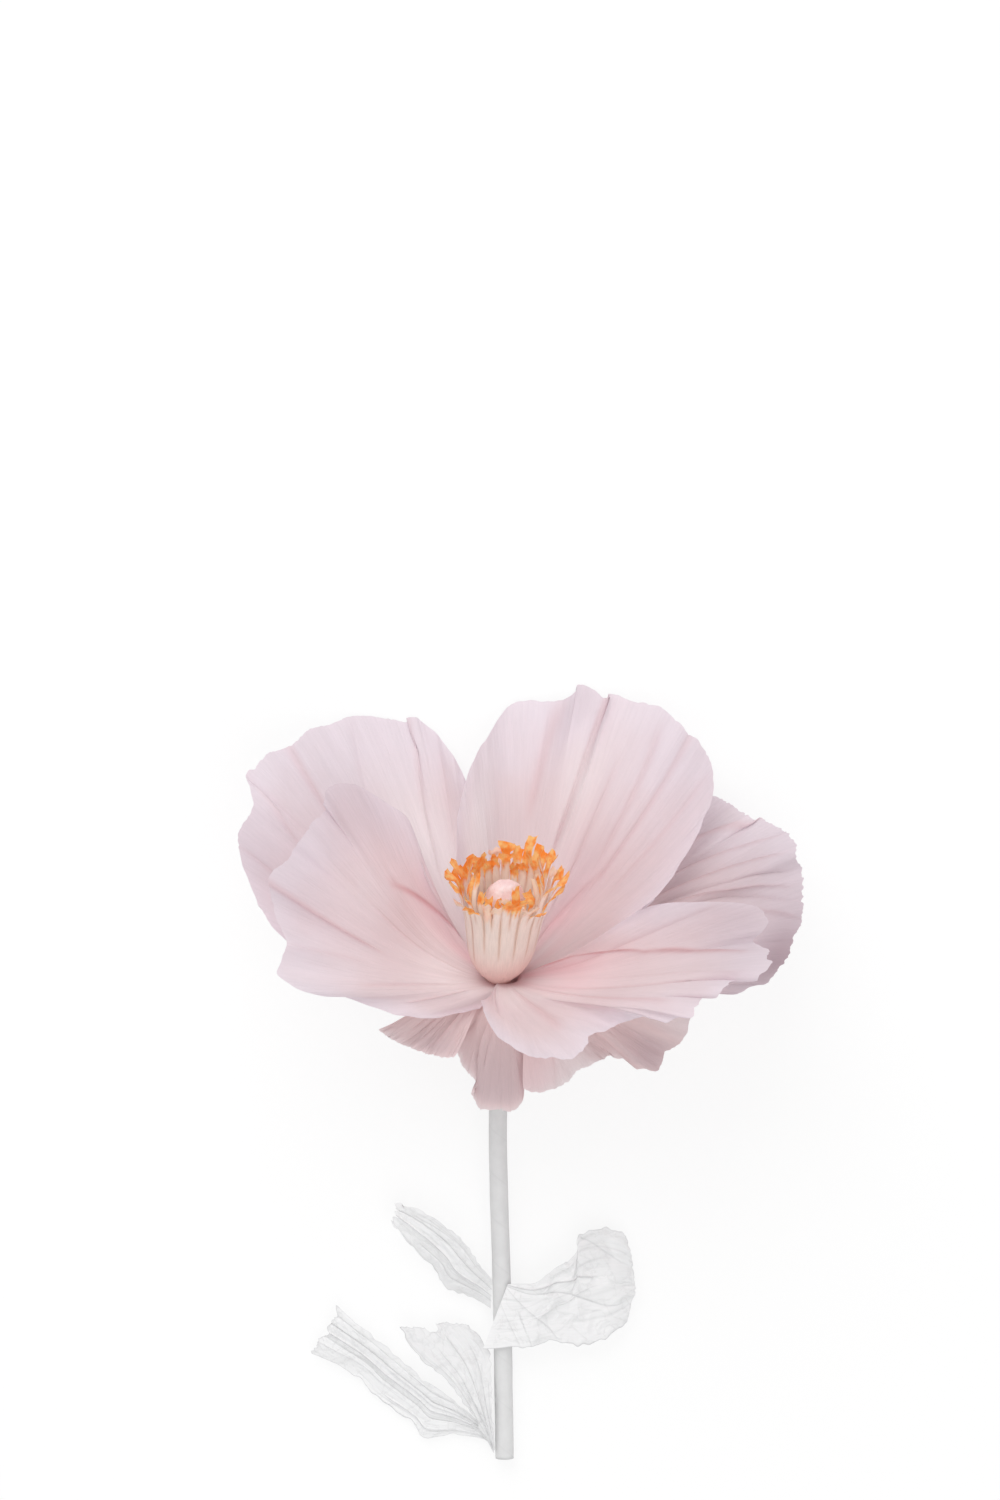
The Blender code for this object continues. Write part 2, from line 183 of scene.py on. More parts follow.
# The inner cup's cream is paler than the outer's: painted light on the shaded inner cup
INNER_LIT_CREAM = (1.0, 0.91, 0.82)
CUP_BLUSH = (0.98, 0.70, 0.65)
# Painted contact shadow at the cup's foot
CUP_FOOT_SHADE = (0.74, 0.40, 0.38)
# Painted shade in the slits between the strips
SLIT_SHADE = (0.72, 0.42, 0.30)
DYE_DEEP = (1.0, 0.31, 0.05)
DYE_PALE = (1.0, 0.62, 0.24)
BALL_DEEP = (0.85, 0.60, 0.60)
BALL_PALE = (0.95, 0.79, 0.79)
WRAP_GREY = (0.70, 0.70, 0.70)
WIRE_DEEP = (0.30, 0.30, 0.31)
WIRE_PALE = (0.45, 0.45, 0.46)
FLOOR_WHITE = (0.95, 0.95, 0.95)

# Share of the light that passes through thin paper, and the share of dull reflection
CREPE_GLOW = 0.3
LEAF_GLOW = 0.12
PAPER_SPECULAR = 0.25


class Nodes:
    """Shorthand for building one material's node tree."""

    def __init__(self, name, roughness, sheen=0.0):
        self.material = bpy.data.materials.new(name)
        self.material.use_nodes = True
        self.tree = self.material.node_tree
        self.shader = self.tree.nodes["Principled BSDF"]
        self.output = self.tree.nodes["Material Output"]
        self.shader.inputs["Roughness"].default_value = roughness
        self.shader.inputs["Specular IOR Level"].default_value = PAPER_SPECULAR
        self.shader.inputs["Sheen Weight"].default_value = sheen

    def add(self, kind, **settings):
        node = self.tree.nodes.new(kind)
        for key, value in settings.items():
            setattr(node, key, value)
        return node

    def feed(self, source, target):
        if hasattr(source, "links"):
            self.tree.links.new(source, target)
        elif isinstance(source, (tuple, list)) and len(source) == 3 and target.type == "RGBA":
            target.default_value = (*source, 1.0)
        else:
            target.default_value = source

    def attribute(self, name):
        return self.add("ShaderNodeAttribute", attribute_name=name).outputs["Fac"]

    def fill(self, node, *items):
        """Feed a node's first inputs in their order, and give its output."""
        for socket, item in zip(node.inputs, items):
            self.feed(item, socket)
        return node.outputs[0]

    def math(self, operation, a, b=0.0, clamp=False):
        return self.fill(self.add("ShaderNodeMath", operation=operation, use_clamp=clamp), a, b)

    def between(self, value, start, end, low=0.0, high=1.0):
        """value taken from start..end to low..high, and held there outside it."""
        node = self.add("ShaderNodeMapRange", interpolation_type="SMOOTHSTEP")
        return self.fill(node, value, start, end, low, high)

    def mix(self, share, a, b, blend="MIX"):
        node = self.add("ShaderNodeMix", data_type="RGBA", blend_type=blend)
        self.feed(share, node.inputs["Factor"])
        for item, socket in zip((a, b), [item for item in node.inputs if item.type == "RGBA"]):
            self.feed(item, socket)
        return next(item for item in node.outputs if item.type == "RGBA")

    def place(self, x, y, z):
        return self.fill(self.add("ShaderNodeCombineXYZ"), x, y, z)

    def object_place(self):
        return self.add("ShaderNodeTexCoord").outputs["Object"]

    def noise(self, vector, scale, detail=3.0, roughness=0.55, distortion=0.0):
        node = self.add("ShaderNodeTexNoise")
        for key, item in (("Vector", vector), ("Scale", scale), ("Detail", detail),
                          ("Roughness", roughness), ("Distortion", distortion)):
            self.feed(item, node.inputs[key])
        return node.outputs["Fac"]

    def grain(self, fine, long, seed, detail, roughness=0.55):
        """Noise drawn out along the sheet, fine across it and long along it."""
        across = self.math("MULTIPLY", self.attribute("across"), fine)
        along = self.math("MULTIPLY", self.attribute("along"), long)
        return self.noise(self.place(across, along, seed), 1.0, detail, roughness)

    def stain(self, colour, name, strength, other):
        """The colour taken towards another one by an attribute times a strength."""
        share = self.math("MULTIPLY", self.attribute(name), strength, True)
        return self.mix(share, colour, other)

    def shaded(self, colour, shade):
        """The colour times one number."""
        return self.mix(1.0, colour, self.place(shade, shade, shade), "MULTIPLY")

    def bump(self, height, distance, strength):
        node = self.add("ShaderNodeBump")
        node.inputs["Strength"].default_value = strength
        node.inputs["Distance"].default_value = distance
        self.feed(height, node.inputs["Height"])
        self.feed(node.outputs["Normal"], self.shader.inputs["Normal"])
        return node.outputs["Normal"]

    def show(self, share, other):
        """Give the material, with a share of another shader in it."""
        both = self.fill(self.add("ShaderNodeMixShader"), share, self.shader.outputs[0], other)
        self.feed(both, self.output.inputs["Surface"])
        return self.material

    def finish(self, colour, glow=0.0, normal=None):
        """Take the colour, and let a share of the light pass through the sheet."""
        self.feed(colour, self.shader.inputs["Base Color"])
        if not glow:
            return self.material
        through = self.add("ShaderNodeBsdfTranslucent")
        self.feed(colour, through.inputs["Color"])
        self.feed(normal, through.inputs["Normal"])
        return self.show(glow, through.outputs[0])


def crepe(name, tints, seed):
    """Crepe paper: fine grain along the sheet, tinted from its claw to its rim, with painted shade
    along folds, round claws and in patches, and painted light in other patches.
    """
    n = Nodes(name, roughness=0.9, sheen=0.1)
    base, middle, rim = tints
    along = n.attribute("along")
    grain = n.grain(150.0, 5.0, seed, 4.0, 0.65)
    streaks = n.grain(24.0, 1.4, seed, 3.0, 0.6)
    clouds = n.noise(n.object_place(), 26.0, 3.0)
    wander = n.math("MULTIPLY", n.math("SUBTRACT", clouds, 0.5), 0.7)
    # With PETAL_TINTS the claw's colour is paler than the paper, painted light against the shade
    # deep in the bloom
    tint = n.mix(n.between(along, 0.10, 0.48), base, middle)
    tint = n.mix(n.between(n.math("ADD", along, wander), 0.50, 1.05), tint, rim)
    # Painted shade from the tint attribute: red-brown along the folds and round the claws
    tint = n.stain(tint, "tint", 0.8, FOLD_SHADE)
    tint = n.stain(tint, "blush", 1.0, BLUSH_PINK)
    # Painted shade in the darker patches, and painted light in the paler ones
    tint = n.stain(tint, "shade", 1.0, PATCH_SHADE)
    tint = n.stain(tint, "shade", -1.0, PATCH_LIGHT)
    shade = n.math("ADD", n.between(streaks, 0.3, 0.72, 0.97, 1.012),
                   n.between(grain, 0.25, 0.75, -0.022, 0.02))
    height = n.math("ADD", n.math("MULTIPLY", grain, 0.6), streaks)
    normal = n.bump(height, 0.0007, 0.5)
    return n.finish(n.shaded(tint, shade), CREPE_GLOW, normal)


def leaf_paper(name, seed):
    """Thin white paper, crumpled, with painted shade on its crumple lines and, from the shade
    attribute, on its folds and edges and where it lies double.
    """
    n = Nodes(name, roughness=0.6, sheen=0.1)
    fibres = n.grain(44.0, 5.0, seed, 4.0, 0.65)
    crumple = n.noise(n.object_place(), 150.0, 4.0, 0.6, 0.8)
    off_middle = n.math("ABSOLUTE", n.math("SUBTRACT", crumple, 0.5))
    # Painted shade along the crumple lines
    crease = n.between(off_middle, 0.0, 0.03, 0.955, 1.0)
    shade = n.math("MULTIPLY", n.between(fibres, 0.25, 0.75, 0.965, 1.015), crease)
    colour = n.stain(n.shaded(LEAF_WHITE, shade), "shade", 1.0, LEAF_SHADE)
    height = n.math("ADD", n.math("MULTIPLY", crease, 6.0), n.math("MULTIPLY", fibres, 0.5))
    normal = n.bump(height, 0.0006, 0.5)
    return n.finish(colour, LEAF_GLOW, normal)


def stamen_paper(name, body):
    """Cream paper with a blush at the cup's base, painted shade at its foot and along its slits,
    and dyed orange tips.
    """
    n = Nodes(name, roughness=0.85, sheen=0.1)
    along = n.attribute("along")
    grain = n.grain(160.0, 9.0, 3.0, 3.0)
    mottle = n.noise(n.object_place(), 420.0, 3.0)
    cream = n.mix(n.between(along, 0.16, 0.55), CUP_BLUSH, body)
    # Painted contact shadow at the cup's foot, a darker pink
    cream = n.mix(n.between(along, 0.06, 0.12), CUP_FOOT_SHADE, cream)
    # Painted shade along the slits, from the edge attribute
    cream = n.stain(cream, "edge", 0.5, SLIT_SHADE)
    dye = n.mix(n.between(mottle, 0.35, 0.65), DYE_DEEP, DYE_PALE)
    colour = n.stain(cream, "tip", 1.0, dye)
    normal = n.bump(grain, 0.0005, 0.5)
    return n.finish(n.shaded(colour, n.between(grain, 0.3, 0.7, 0.95, 1.02)), CREPE_GLOW, normal)


def ball_paper(name):
    """Dull pink paper, mottled, on the ball in the cup."""
    n = Nodes(name, roughness=0.85, sheen=0.15)
    mottle = n.noise(n.object_place(), 260.0, 4.0)
    colour = n.mix(n.between(mottle, 0.3, 0.7), BALL_DEEP, BALL_PALE)
    n.bump(mottle, 0.0016, 0.7)
    return n.finish(colour)


def stem_paper(name):
    """Smooth grey-white wrapping with the faint edge of each turn."""
    n = Nodes(name, roughness=0.55)
    turn, fleck = n.attribute("turn"), n.noise(n.object_place(), 300.0, 3.0)
    edge = n.between(n.math("FRACT", turn), 0.0, 0.08, 0.96, 1.0)
    shade = n.math("MULTIPLY", edge, n.between(fleck, 0.3, 0.7, 0.975, 1.02))
    n.bump(n.math("ADD", edge, n.math("MULTIPLY", fleck, 0.15)), 0.0003, 0.5)
    return n.finish(n.shaded(WRAP_GREY, shade))


def wire_metal(name):
    """Drawn steel wire with fine scratches."""
    n = Nodes(name, roughness=0.4)
    n.shader.inputs["Metallic"].default_value = 1.0
    scratch = n.noise(n.object_place(), 900.0, 2.0)
    colour = n.mix(n.between(scratch, 0.3, 0.7), WIRE_DEEP, WIRE_PALE)
    n.bump(scratch, 0.0002, 0.3)
    return n.finish(colour)


# Petals: ruffle and pleat in mm at the rim, and the pleat's half width as a share of the rim.
# The rim's notches and tears are taken off a rim evened over RIM_BLEND, and added from
# NOTCH_START on. A tear has a fineness, a share and a step of the seed

RUFFLE = 1.1
PLEAT = 3.2
PLEAT_HALF_WIDTH = 0.094
RIM_BLEND = 0.04
NOTCH_START = 0.55
TEARS = ((30, 0.5, 0), (85, 0.5, 1), (180, 0.45, 6))
CLAW_ROWS = 7
CLAW_ALONG = -0.08
# Painted contact shadow round the claws where they meet the cup: its strength and its reach along
# the petal
CLAW_SHADE = 0.75
CLAW_SHADE_REACH = 0.055
EDGE_RUFFLE = 0.6
RUFFLED_FROM = 0.84
PETAL_SEED = 10
UNDER_SEED = 80
PETAL_SEED_STEP = 7
PETAL_COLUMNS = 380
PETAL_ROWS = 120
UNDER_COLUMNS = 140
UNDER_ROWS = 70
UNDER_REACH = 55.0
# A small fold's place, width, start, slant and length, each from and to
STREAK_SPANS = (0.02, 0.98), (0.003, 0.014), (0.05, 0.7), (-0.04, 0.04), (0.2, 0.7)

# Photograph's size and the camera's focal length in pixels, and the heights in mm from the neck
# that are tried along a pixel's line of sight
PHOTO_WIDTH = 1000
PHOTO_HEIGHT = 1500
FOCAL_PIXELS = PHOTO_HEIGHT * CAMERA_LENS / SENSOR_HEIGHT
SIGHT_HEIGHTS = np.linspace(-120, 150, 13501)


def seen_at(rim, reach):
    """Places in the bloom's frame that show at each pixel x, y and lean so far from the axis.

    Where a pixel allows two places, the first is the one whose reach in mm is nearest to that
    given, and each later one is the nearest to the place before it.
    """
    z = SIGHT_HEIGHTS
    away = (CAMERA_HEIGHT - z) / FOCAL_PIXELS
    found = []
    for x, y, opening in rim:
        line = np.stack([CAMERA_ASIDE[0] + (x - PHOTO_WIDTH / 2) * away,
                         CAMERA_ASIDE[1] + (PHOTO_HEIGHT / 2 - y) * away, z], 1)
        size = np.linalg.norm(line, axis=1)
        lean = line @ np.array(UP_AXIS) - size * math.cos(math.radians(opening))
        turns = np.nonzero(np.sign(lean[1:]) != np.sign(lean[:-1]))[0]
        if not len(turns):
            turns = np.array([int(np.argmin(np.abs(lean)))])
        places = line[turns]
        far = np.linalg.norm(places - found[-1], axis=1) if found else abs(size[turns] - reach)
        found.append(places[int(np.argmin(far))])
    return np.array(found) @ BLOOM.T


def held_at(azimuth, opening, reach):
    """Place in the bloom's frame from two angles and a reach in hundredths of UNDER_REACH."""
    turn, tilt, far = math.radians(azimuth), math.radians(opening), reach * UNDER_REACH / 100
    flat = far * math.sin(tilt)
    return np.array([flat * math.cos(turn), flat * math.sin(turn), far * math.cos(tilt)])


def petal_lines(spec, corners, columns, rows, ragged, seed):
    """Places of a petal from its claw to its rim, column by column, in the bloom's frame."""
    layer, middle, width, rise, roll, ruffles, pleat = spec
    rims = smooth(corners, columns)
    across = np.linspace(0, 1, columns + 1)
    flat = np.linalg.norm(rims[:, :2], axis=1)
    facing = np.stack([rims[:, 0] / flat, rims[:, 1] / flat, np.zeros_like(flat)], 1)
    up = np.array([0, 0, 1.0])
    tilt = np.arctan2(flat, rims[:, 2])
    outside = facing * np.cos(tilt)[:, None] - up * np.sin(tilt)[:, None]
    wave = RUFFLE * np.sin(2 * math.pi * ruffles * across)
    wave += PLEAT * np.maximum(0, 1 - np.abs(across - pleat) / PLEAT_HALF_WIDTH)
    rims -= outside * wave[:, None]
    tear = sum(share * value_noise(across * fine, 0.5, seed + step) for fine, share, step in TEARS)
    radial = unit(rims)
    crossing = np.linalg.norm(np.cross(unit(np.gradient(rims, axis=0)), radial), axis=1)
    rims += radial * (ragged * tear * crossing ** 2)[:, None]
    spread = np.exp(-((across[:, None] - across[None]) / RIM_BLEND) ** 2)
    even = spread @ rims / spread.sum(1)[:, None]
    ends = np.minimum(1, np.minimum(across, 1 - across) / (2 * RIM_BLEND))[:, None]
    notches = (rims - even) * ends
    rims = rims - notches
    claw = np.radians(middle + (across - 0.5) * width)
    radius = INNER_CLAW_RADIUS + LAYER_SPACING * layer
    top = NECK_TOP - CLAW_TOP_STEP * layer
    turn = math.radians(rise)
    outward = np.stack([np.cos(claw), np.sin(claw), np.zeros_like(claw)], 1)
    line = [outward * radius + up * CLAW_LOW, outward * radius + up * (CLAW_LOW + top) / 2]
    for share in np.linspace(0, 1, CLAW_ROWS):
        angle = turn * share
        line.append(outward * (radius + CLAW_BEND * (1 - math.cos(angle)))
                    + up * (top + CLAW_BEND * math.sin(angle)))
    start = line[-1]
    arriving = tilt + math.radians(roll)
    handle = (np.linalg.norm(rims - start, axis=1) / 3)[:, None]
    leave = start + handle * (outward * math.sin(turn) + up * math.cos(turn))
    arrive = rims - handle * (facing * np.sin(arriving)[:, None] + up * np.cos(arriving)[:, None])
    for t in np.linspace(0, 1, rows + 1)[1:]:
        s = 1 - t
        line.append(start * s ** 3 + leave * 3 * s * s * t
                    + arrive * 3 * s * t * t + rims * t ** 3)
    grid = np.stack(line, 1)
    along = np.concatenate([np.linspace(CLAW_ALONG, 0, CLAW_ROWS + 2),
                            np.linspace(0, 1, rows + 1)[1:]])
    grid += notches[:, None] * ramp(along, NOTCH_START, 1.0)[None, :, None]
    grid += (outside * wave[:, None])[:, None] * (np.clip(along, 0, 1) ** 2)[None, :, None]
    return grid, across, along


def press_folds(u, v, folds, seed, streaks, depth, swell):
    """Height of the folds that are named and of many small seeded ones, and the tint of the named
    ones, which is painted shade along them.
    """
    rng = np.random.default_rng(seed)
    grow = np.clip(v, 0, 1)
    height, tint = np.zeros_like(u), np.zeros_like(u)
    for u0, v0, u1, v1, wide, deep, fold_shade in folds:
        share = np.clip((grow - v0) / (v1 - v0), 0, 1)
        distance = (u - (u0 + (u1 - u0) * share)) / wide
        reach = ramp(grow, v0 - 0.06, v0 + 0.1) * (1 - ramp(grow, v1 - 0.08, v1 + 0.06))
        height += deep * np.exp(-np.abs(distance)) * reach
        tint += fold_shade * np.exp(-(distance * 1.3) ** 2) * reach
    for _ in range(streaks):
        place, wide, begins, slant, length = (rng.uniform(*span) for span in STREAK_SPANS)
        ends = begins + length
        distance = (u - (place + slant * (grow - 1))) / wide
        reach = ramp(grow, begins, begins + 0.2) * (1 - ramp(grow, ends - 0.15, ends))
        height += rng.normal(0, depth) * np.exp(-np.abs(distance)) * reach
    height += swell * value_noise(u * 5, v * 2.2, seed + 2) * grow ** 1.5
    height += 0.35 * value_noise(u * 14, v * 3.0, seed + 3) * grow
    return height, tint


def spots(u, v, table):
    """Sum of soft spots, each round an (across, along) with width, height and strength."""
    total = np.zeros_like(u)
    for place, far, wide, tall, strength in table:
        total += strength * np.exp(-((u - place) / wide) ** 2 - ((v - far) / tall) ** 2)
    return total


def petal(name, spec, corners, material, seed, columns=PETAL_COLUMNS, rows=PETAL_ROWS,
          ragged=0.7, streaks=20, depth=0.15, swell=1.3):
    """One sheet of the bloom, folded, ruffled and tinted after the tables below."""
    grid, across, along = petal_lines(spec, corners, columns, rows, TORN.get(name, ragged), seed)
    u, v = np.meshgrid(across, along, indexing="ij")
    height, tint = press_folds(u, v, FOLDS.get(name, ()), seed, streaks, depth, swell)
    edge = ramp(v, RUFFLED_FROM, 1.0)
    height += EDGE_RUFFLE * edge * (value_noise(u * 18, v * 1.5, seed + 4)
                               + 0.5 * value_noise(u * 44, v * 2, seed + 5))
    # Painted contact shadow round the claws, carried in the tint attribute
    tint += CLAW_SHADE * np.exp(-(np.maximum(v, 0) / CLAW_SHADE_REACH) ** 2)
    # Painted shade and painted light in patches, and the blushes
    shade, blush = spots(u, v, PATCHES.get(name, ())), spots(u, v, BLUSHES.get(name, ()))
    grid = grid + grid_normals(grid) * height[:, :, None]
    faces = grid_faces(*grid.shape[:2])
    make_piece(name + "_paper", to_world(grid.reshape(-1, 3)), faces, material, [name],
               {"across": u, "along": v, "tint": tint, "shade": shade, "blush": blush})


# Each petal's layer, middle and width of its claw, rise, roll, ruffles and pleat's place. Then
# the first reach in mm, and the rim as the pixel x and y where the photograph shows it and its
# opening from the axis
PETALS = {
    "petal_front_right": ((0, 305, 138, 80, 3, 3.0, 0.38), 17, [
        (481, 1004, 78), (486, 1018, 78), (495, 1033, 78), (509, 1043, 79), (526, 1051, 79),
        (545, 1055, 80), (568, 1054, 80), (582, 1047, 80), (590, 1037, 79), (603, 1028, 78),
        (618, 1020, 77), (638, 1019, 76), (653, 1022, 75), (665, 1023, 74), (676, 1018, 73),
        (690, 1018, 72), (694, 1008, 71), (705, 998, 70), (724, 994, 69), (732, 984, 69),
        (745, 979, 69), (762, 976, 68), (772, 964, 68), (770, 953, 68), (757, 945, 68),
        (754, 939, 67), (762, 932, 66), (769, 924, 65), (767, 912, 63), (752, 905, 61),
        (728, 902, 59), (700, 901, 57), (672, 902, 55), (648, 907, 53)]),
    "petal_back_right": ((1, 68, 100, 76, -12, 3.5, 0.42), 50, [
        (645, 905, 61), (657, 897, 60), (672, 878, 60), (688, 851, 58), (699, 828, 57),
        (709, 805, 55), (713, 785, 54), (711, 766, 54), (705, 751, 53), (695, 737, 53),
        (687, 733, 53), (676, 720, 53), (664, 709, 52), (653, 704, 52), (634, 702, 52),
        (622, 696, 52), (609, 694, 52), (605, 699, 52), (597, 693, 52), (588, 687, 52),
        (578, 685, 52), (573, 693, 52), (561, 700, 51), (545, 703, 51), (530, 701, 51),
        (516, 703, 51), (507, 708, 51), (499, 720, 50), (488, 739, 48), (476, 757, 46),
        (468, 772, 45), (463, 789, 44), (457, 812, 43), (454, 835, 42), (454, 862, 42)]),
    "petal_front_left": ((1, 192, 108, 78, -6, 3.0, 0.5), 48, [
        (426, 874, 44), (421, 858, 44), (415, 836, 43), (407, 822, 43), (399, 812, 42),
        (388, 805, 42), (372, 795, 42), (357, 786, 42), (342, 783, 42), (332, 785, 43),
        (324, 791, 44), (323, 802, 44), (326, 810, 45), (318, 818, 46), (309, 826, 47),
        (301, 839, 48), (293, 851, 51), (286, 861, 53), (272, 871, 55), (268, 881, 57),
        (271, 897, 60), (276, 916, 63), (286, 936, 65), (287, 944, 66), (282, 961, 70),
        (278, 973, 72), (291, 984, 74), (307, 993, 76), (326, 997, 78), (349, 998, 79),
        (368, 1005, 81), (392, 1012, 83), (415, 1015, 84), (441, 1014, 86), (461, 1011, 87),
        (478, 1009, 88)]),
    "petal_back_left": ((2, 146, 96, 80, -8, 3.5, 0.6), 72, [
        (462, 784, 50), (457, 766, 51), (449, 752, 52), (439, 736, 53), (430, 728, 54),
        (420, 720, 55), (414, 717, 55), (407, 719, 56), (404, 723, 56), (391, 720, 56),
        (380, 718, 56), (364, 716, 57), (349, 718, 57), (334, 724, 57), (316, 728, 57),
        (303, 735, 57), (290, 747, 57), (272, 753, 58), (260, 761, 58), (254, 770, 58),
        (248, 771, 58), (246, 779, 59), (250, 789, 59), (253, 803, 60), (251, 812, 61),
        (243, 823, 62), (239, 834, 63), (241, 851, 64), (247, 874, 66), (255, 893, 68),
        (263, 909, 69), (272, 926, 71), (288, 942, 73)]),
    "petal_right": ((2, 14, 96, 82, 4, 4.5, 0.35), 66, [
        (728, 992, 84), (745, 989, 84), (765, 983, 83), (776, 974, 83), (784, 960, 82),
        (793, 943, 81), (795, 935, 80), (803, 918, 79), (803, 893, 76), (801, 870, 73),
        (796, 855, 70), (795, 845, 69), (784, 832, 68), (769, 823, 67), (760, 820, 67),
        (749, 819, 66), (738, 812, 66), (726, 803, 66), (714, 798, 65), (700, 799, 65),
        (680, 810, 66)]),
}
UNDER_PETALS = {
    "under_petal_left": ((3, 206, 46, 92, 10, 1.5, 0.5), 39, [
        (383, 1028, 103), (380, 1031, 105), (388, 1037, 107), (398, 1042, 109), (408, 1046, 110),
        (420, 1051, 112), (433, 1055, 114), (446, 1058, 117), (454, 1058, 118)]),
    "under_petal_front": ((4, 248, 88, 104, 10, 2.0, 0.5), 25, [
        (428, 1014, 112), (436, 1030, 118), (445, 1042, 124), (459, 1056, 133), (463, 1067, 139),
        (472, 1076, 143), (477, 1084, 146), (474, 1092, 147), (474, 1100, 149), (478, 1107, 150),
        (487, 1110, 151), (500, 1110, 151), (512, 1110, 150), (520, 1104, 149), (524, 1095, 148),
        (524, 1085, 147), (529, 1074, 145)]),
    "under_petal_right": ((3, 328, 66, 98, 6, 2.0, 0.6), 30, [
        (524, 1088, 137), (532, 1092, 138), (544, 1092, 138), (552, 1089, 137), (563, 1085, 137),
        (572, 1078, 136), (580, 1069, 133), (590, 1066, 131), (602, 1060, 129), (613, 1056, 128),
        (629, 1064, 125), (644, 1070, 122), (656, 1072, 120), (661, 1064, 118), (665, 1053, 115),
        (680, 1045, 110), (687, 1033, 107), (690, 1018, 104)]),
}
HIDDEN_PETALS = {
    "under_petal_back_right": ((3, 44, 58, 96, 8, 1.5, 0.5), [
        (15, 110, 66), (28, 116, 73), (46, 119, 69), (64, 118, 62), (76, 112, 55)]),
    "under_petal_back_left": ((3, 120, 58, 96, 8, 1.5, 0.5), [
        (92, 113, 55), (105, 117, 60), (121, 119, 65), (138, 118, 69), (152, 112, 62)]),
}

# Folds of a petal: across and along where each begins and where it ends, width, height in mm
# and redness, which is painted shade that darkens the paper along the fold
FOLDS = {
    "petal_front_right": [
        (0.985, 0.08, 0.965, 0.3, 0.018, -1.0, 1.0), (0.965, 0.3, 0.815, 0.52, 0.015, -1.1, 0.9),
        (0.815, 0.52, 0.731, 0.9, 0.013, -1.0, 0.75), (0.3, 0.1, 0.265, 0.72, 0.02, -0.9, 0.3),
        (0.52, 0.12, 0.505, 0.85, 0.014, -0.6, 0.3), (0.63, 0.12, 0.62, 0.8, 0.012, 0.6, 0.2),
        (0.03, 0.1, 0.12, 0.6, 0.03, 0.8, 0.0), (0.9, 0.15, 0.88, 0.95, 0.014, 0.7, 0.1),
        (0.7, 0.3, 0.64, 0.96, 0.01, -0.6, 0.1)],
    "petal_back_right": [
        (0.54, 0.42, 0.512, 1.05, 0.008, -1.7, 0.35), (0.522, 0.5, 0.497, 1.05, 0.012, 1.5, 0.0),
        (0.645, 0.6, 0.612, 1.0, 0.016, -1.1, 0.3), (0.365, 0.48, 0.4, 0.95, 0.012, -1.3, 0.2),
        (0.322, 0.42, 0.342, 1.05, 0.01, -1.3, 0.25), (0.25, 0.45, 0.262, 0.95, 0.012, -0.8, 0.15),
        (0.4, 0.12, 0.33, 0.45, 0.02, -0.9, 0.35), (0.47, 0.12, 0.44, 0.5, 0.014, 0.8, 0.15),
        (0.44, 0.3, 0.45, 0.8, 0.01, -0.9, 0.15), (0.8, 0.1, 0.84, 0.6, 0.012, 0.7, 0.1)],
    "petal_front_left": [
        (0.52, 0.5, 0.485, 1.05, 0.011, -1.1, 0.4), (0.04, 0.34, 0.24, 0.56, 0.028, -1.2, 1.05),
        (0.62, 0.15, 0.66, 0.62, 0.012, 0.6, 0.15), (0.8, 0.2, 0.82, 0.72, 0.01, -0.6, 0.15),
        (0.4, 0.12, 0.38, 0.6, 0.012, -0.6, 0.2), (0.58, 0.6, 0.6, 1.0, 0.01, -0.6, 0.1)],
    "petal_back_left": [
        (0.515, 0.68, 0.49, 1.05, 0.012, -1.3, 0.25), (0.262, 0.42, 0.192, 1.05, 0.01, -1.3, 0.2),
        (0.39, 0.65, 0.328, 0.98, 0.018, 0.8, 0.05), (0.69, 0.75, 0.62, 1.0, 0.016, -0.9, 0.15),
        (0.16, 0.5, 0.135, 0.92, 0.014, 0.8, 0.1), (0.8, 0.7, 0.78, 1.0, 0.012, -0.8, 0.2)],
    "petal_right": [
        (0.86, 0.68, 0.7, 1.05, 0.018, -1.3, 0.35), (0.68, 0.5, 0.56, 0.95, 0.007, -1.2, 0.32),
        (0.64, 0.5, 0.5, 0.95, 0.007, 1.1, 0.1), (0.61, 0.5, 0.46, 0.95, 0.007, -1.2, 0.32),
        (0.57, 0.55, 0.42, 0.95, 0.007, 1.0, 0.1), (0.73, 0.6, 0.62, 0.98, 0.009, -1.1, 0.25),
        (0.5, 0.6, 0.36, 1.0, 0.009, -1.0, 0.25)],
    "under_petal_left": [
        (0.75, 0.3, 0.7, 0.95, 0.03, -1.0, 0.2), (0.4, 0.5, 0.35, 1.0, 0.02, 0.8, 0.0)],
    "under_petal_front": [
        (0.55, 0.2, 0.45, 1.0, 0.03, -0.9, 0.1), (0.3, 0.4, 0.22, 1.0, 0.02, 0.9, 0.1),
        (0.8, 0.3, 0.86, 1.0, 0.02, -0.9, 0.2), (0.12, 0.4, 0.08, 1.0, 0.02, -0.7, 0.1)],
    "under_petal_right": [
        (0.6, 0.45, 0.63, 1.05, 0.02, -1.2, 0.2), (0.82, 0.6, 0.8, 1.05, 0.02, 1.0, 0.0),
        (0.2, 0.3, 0.16, 0.9, 0.02, -0.8, 0.3)],
}

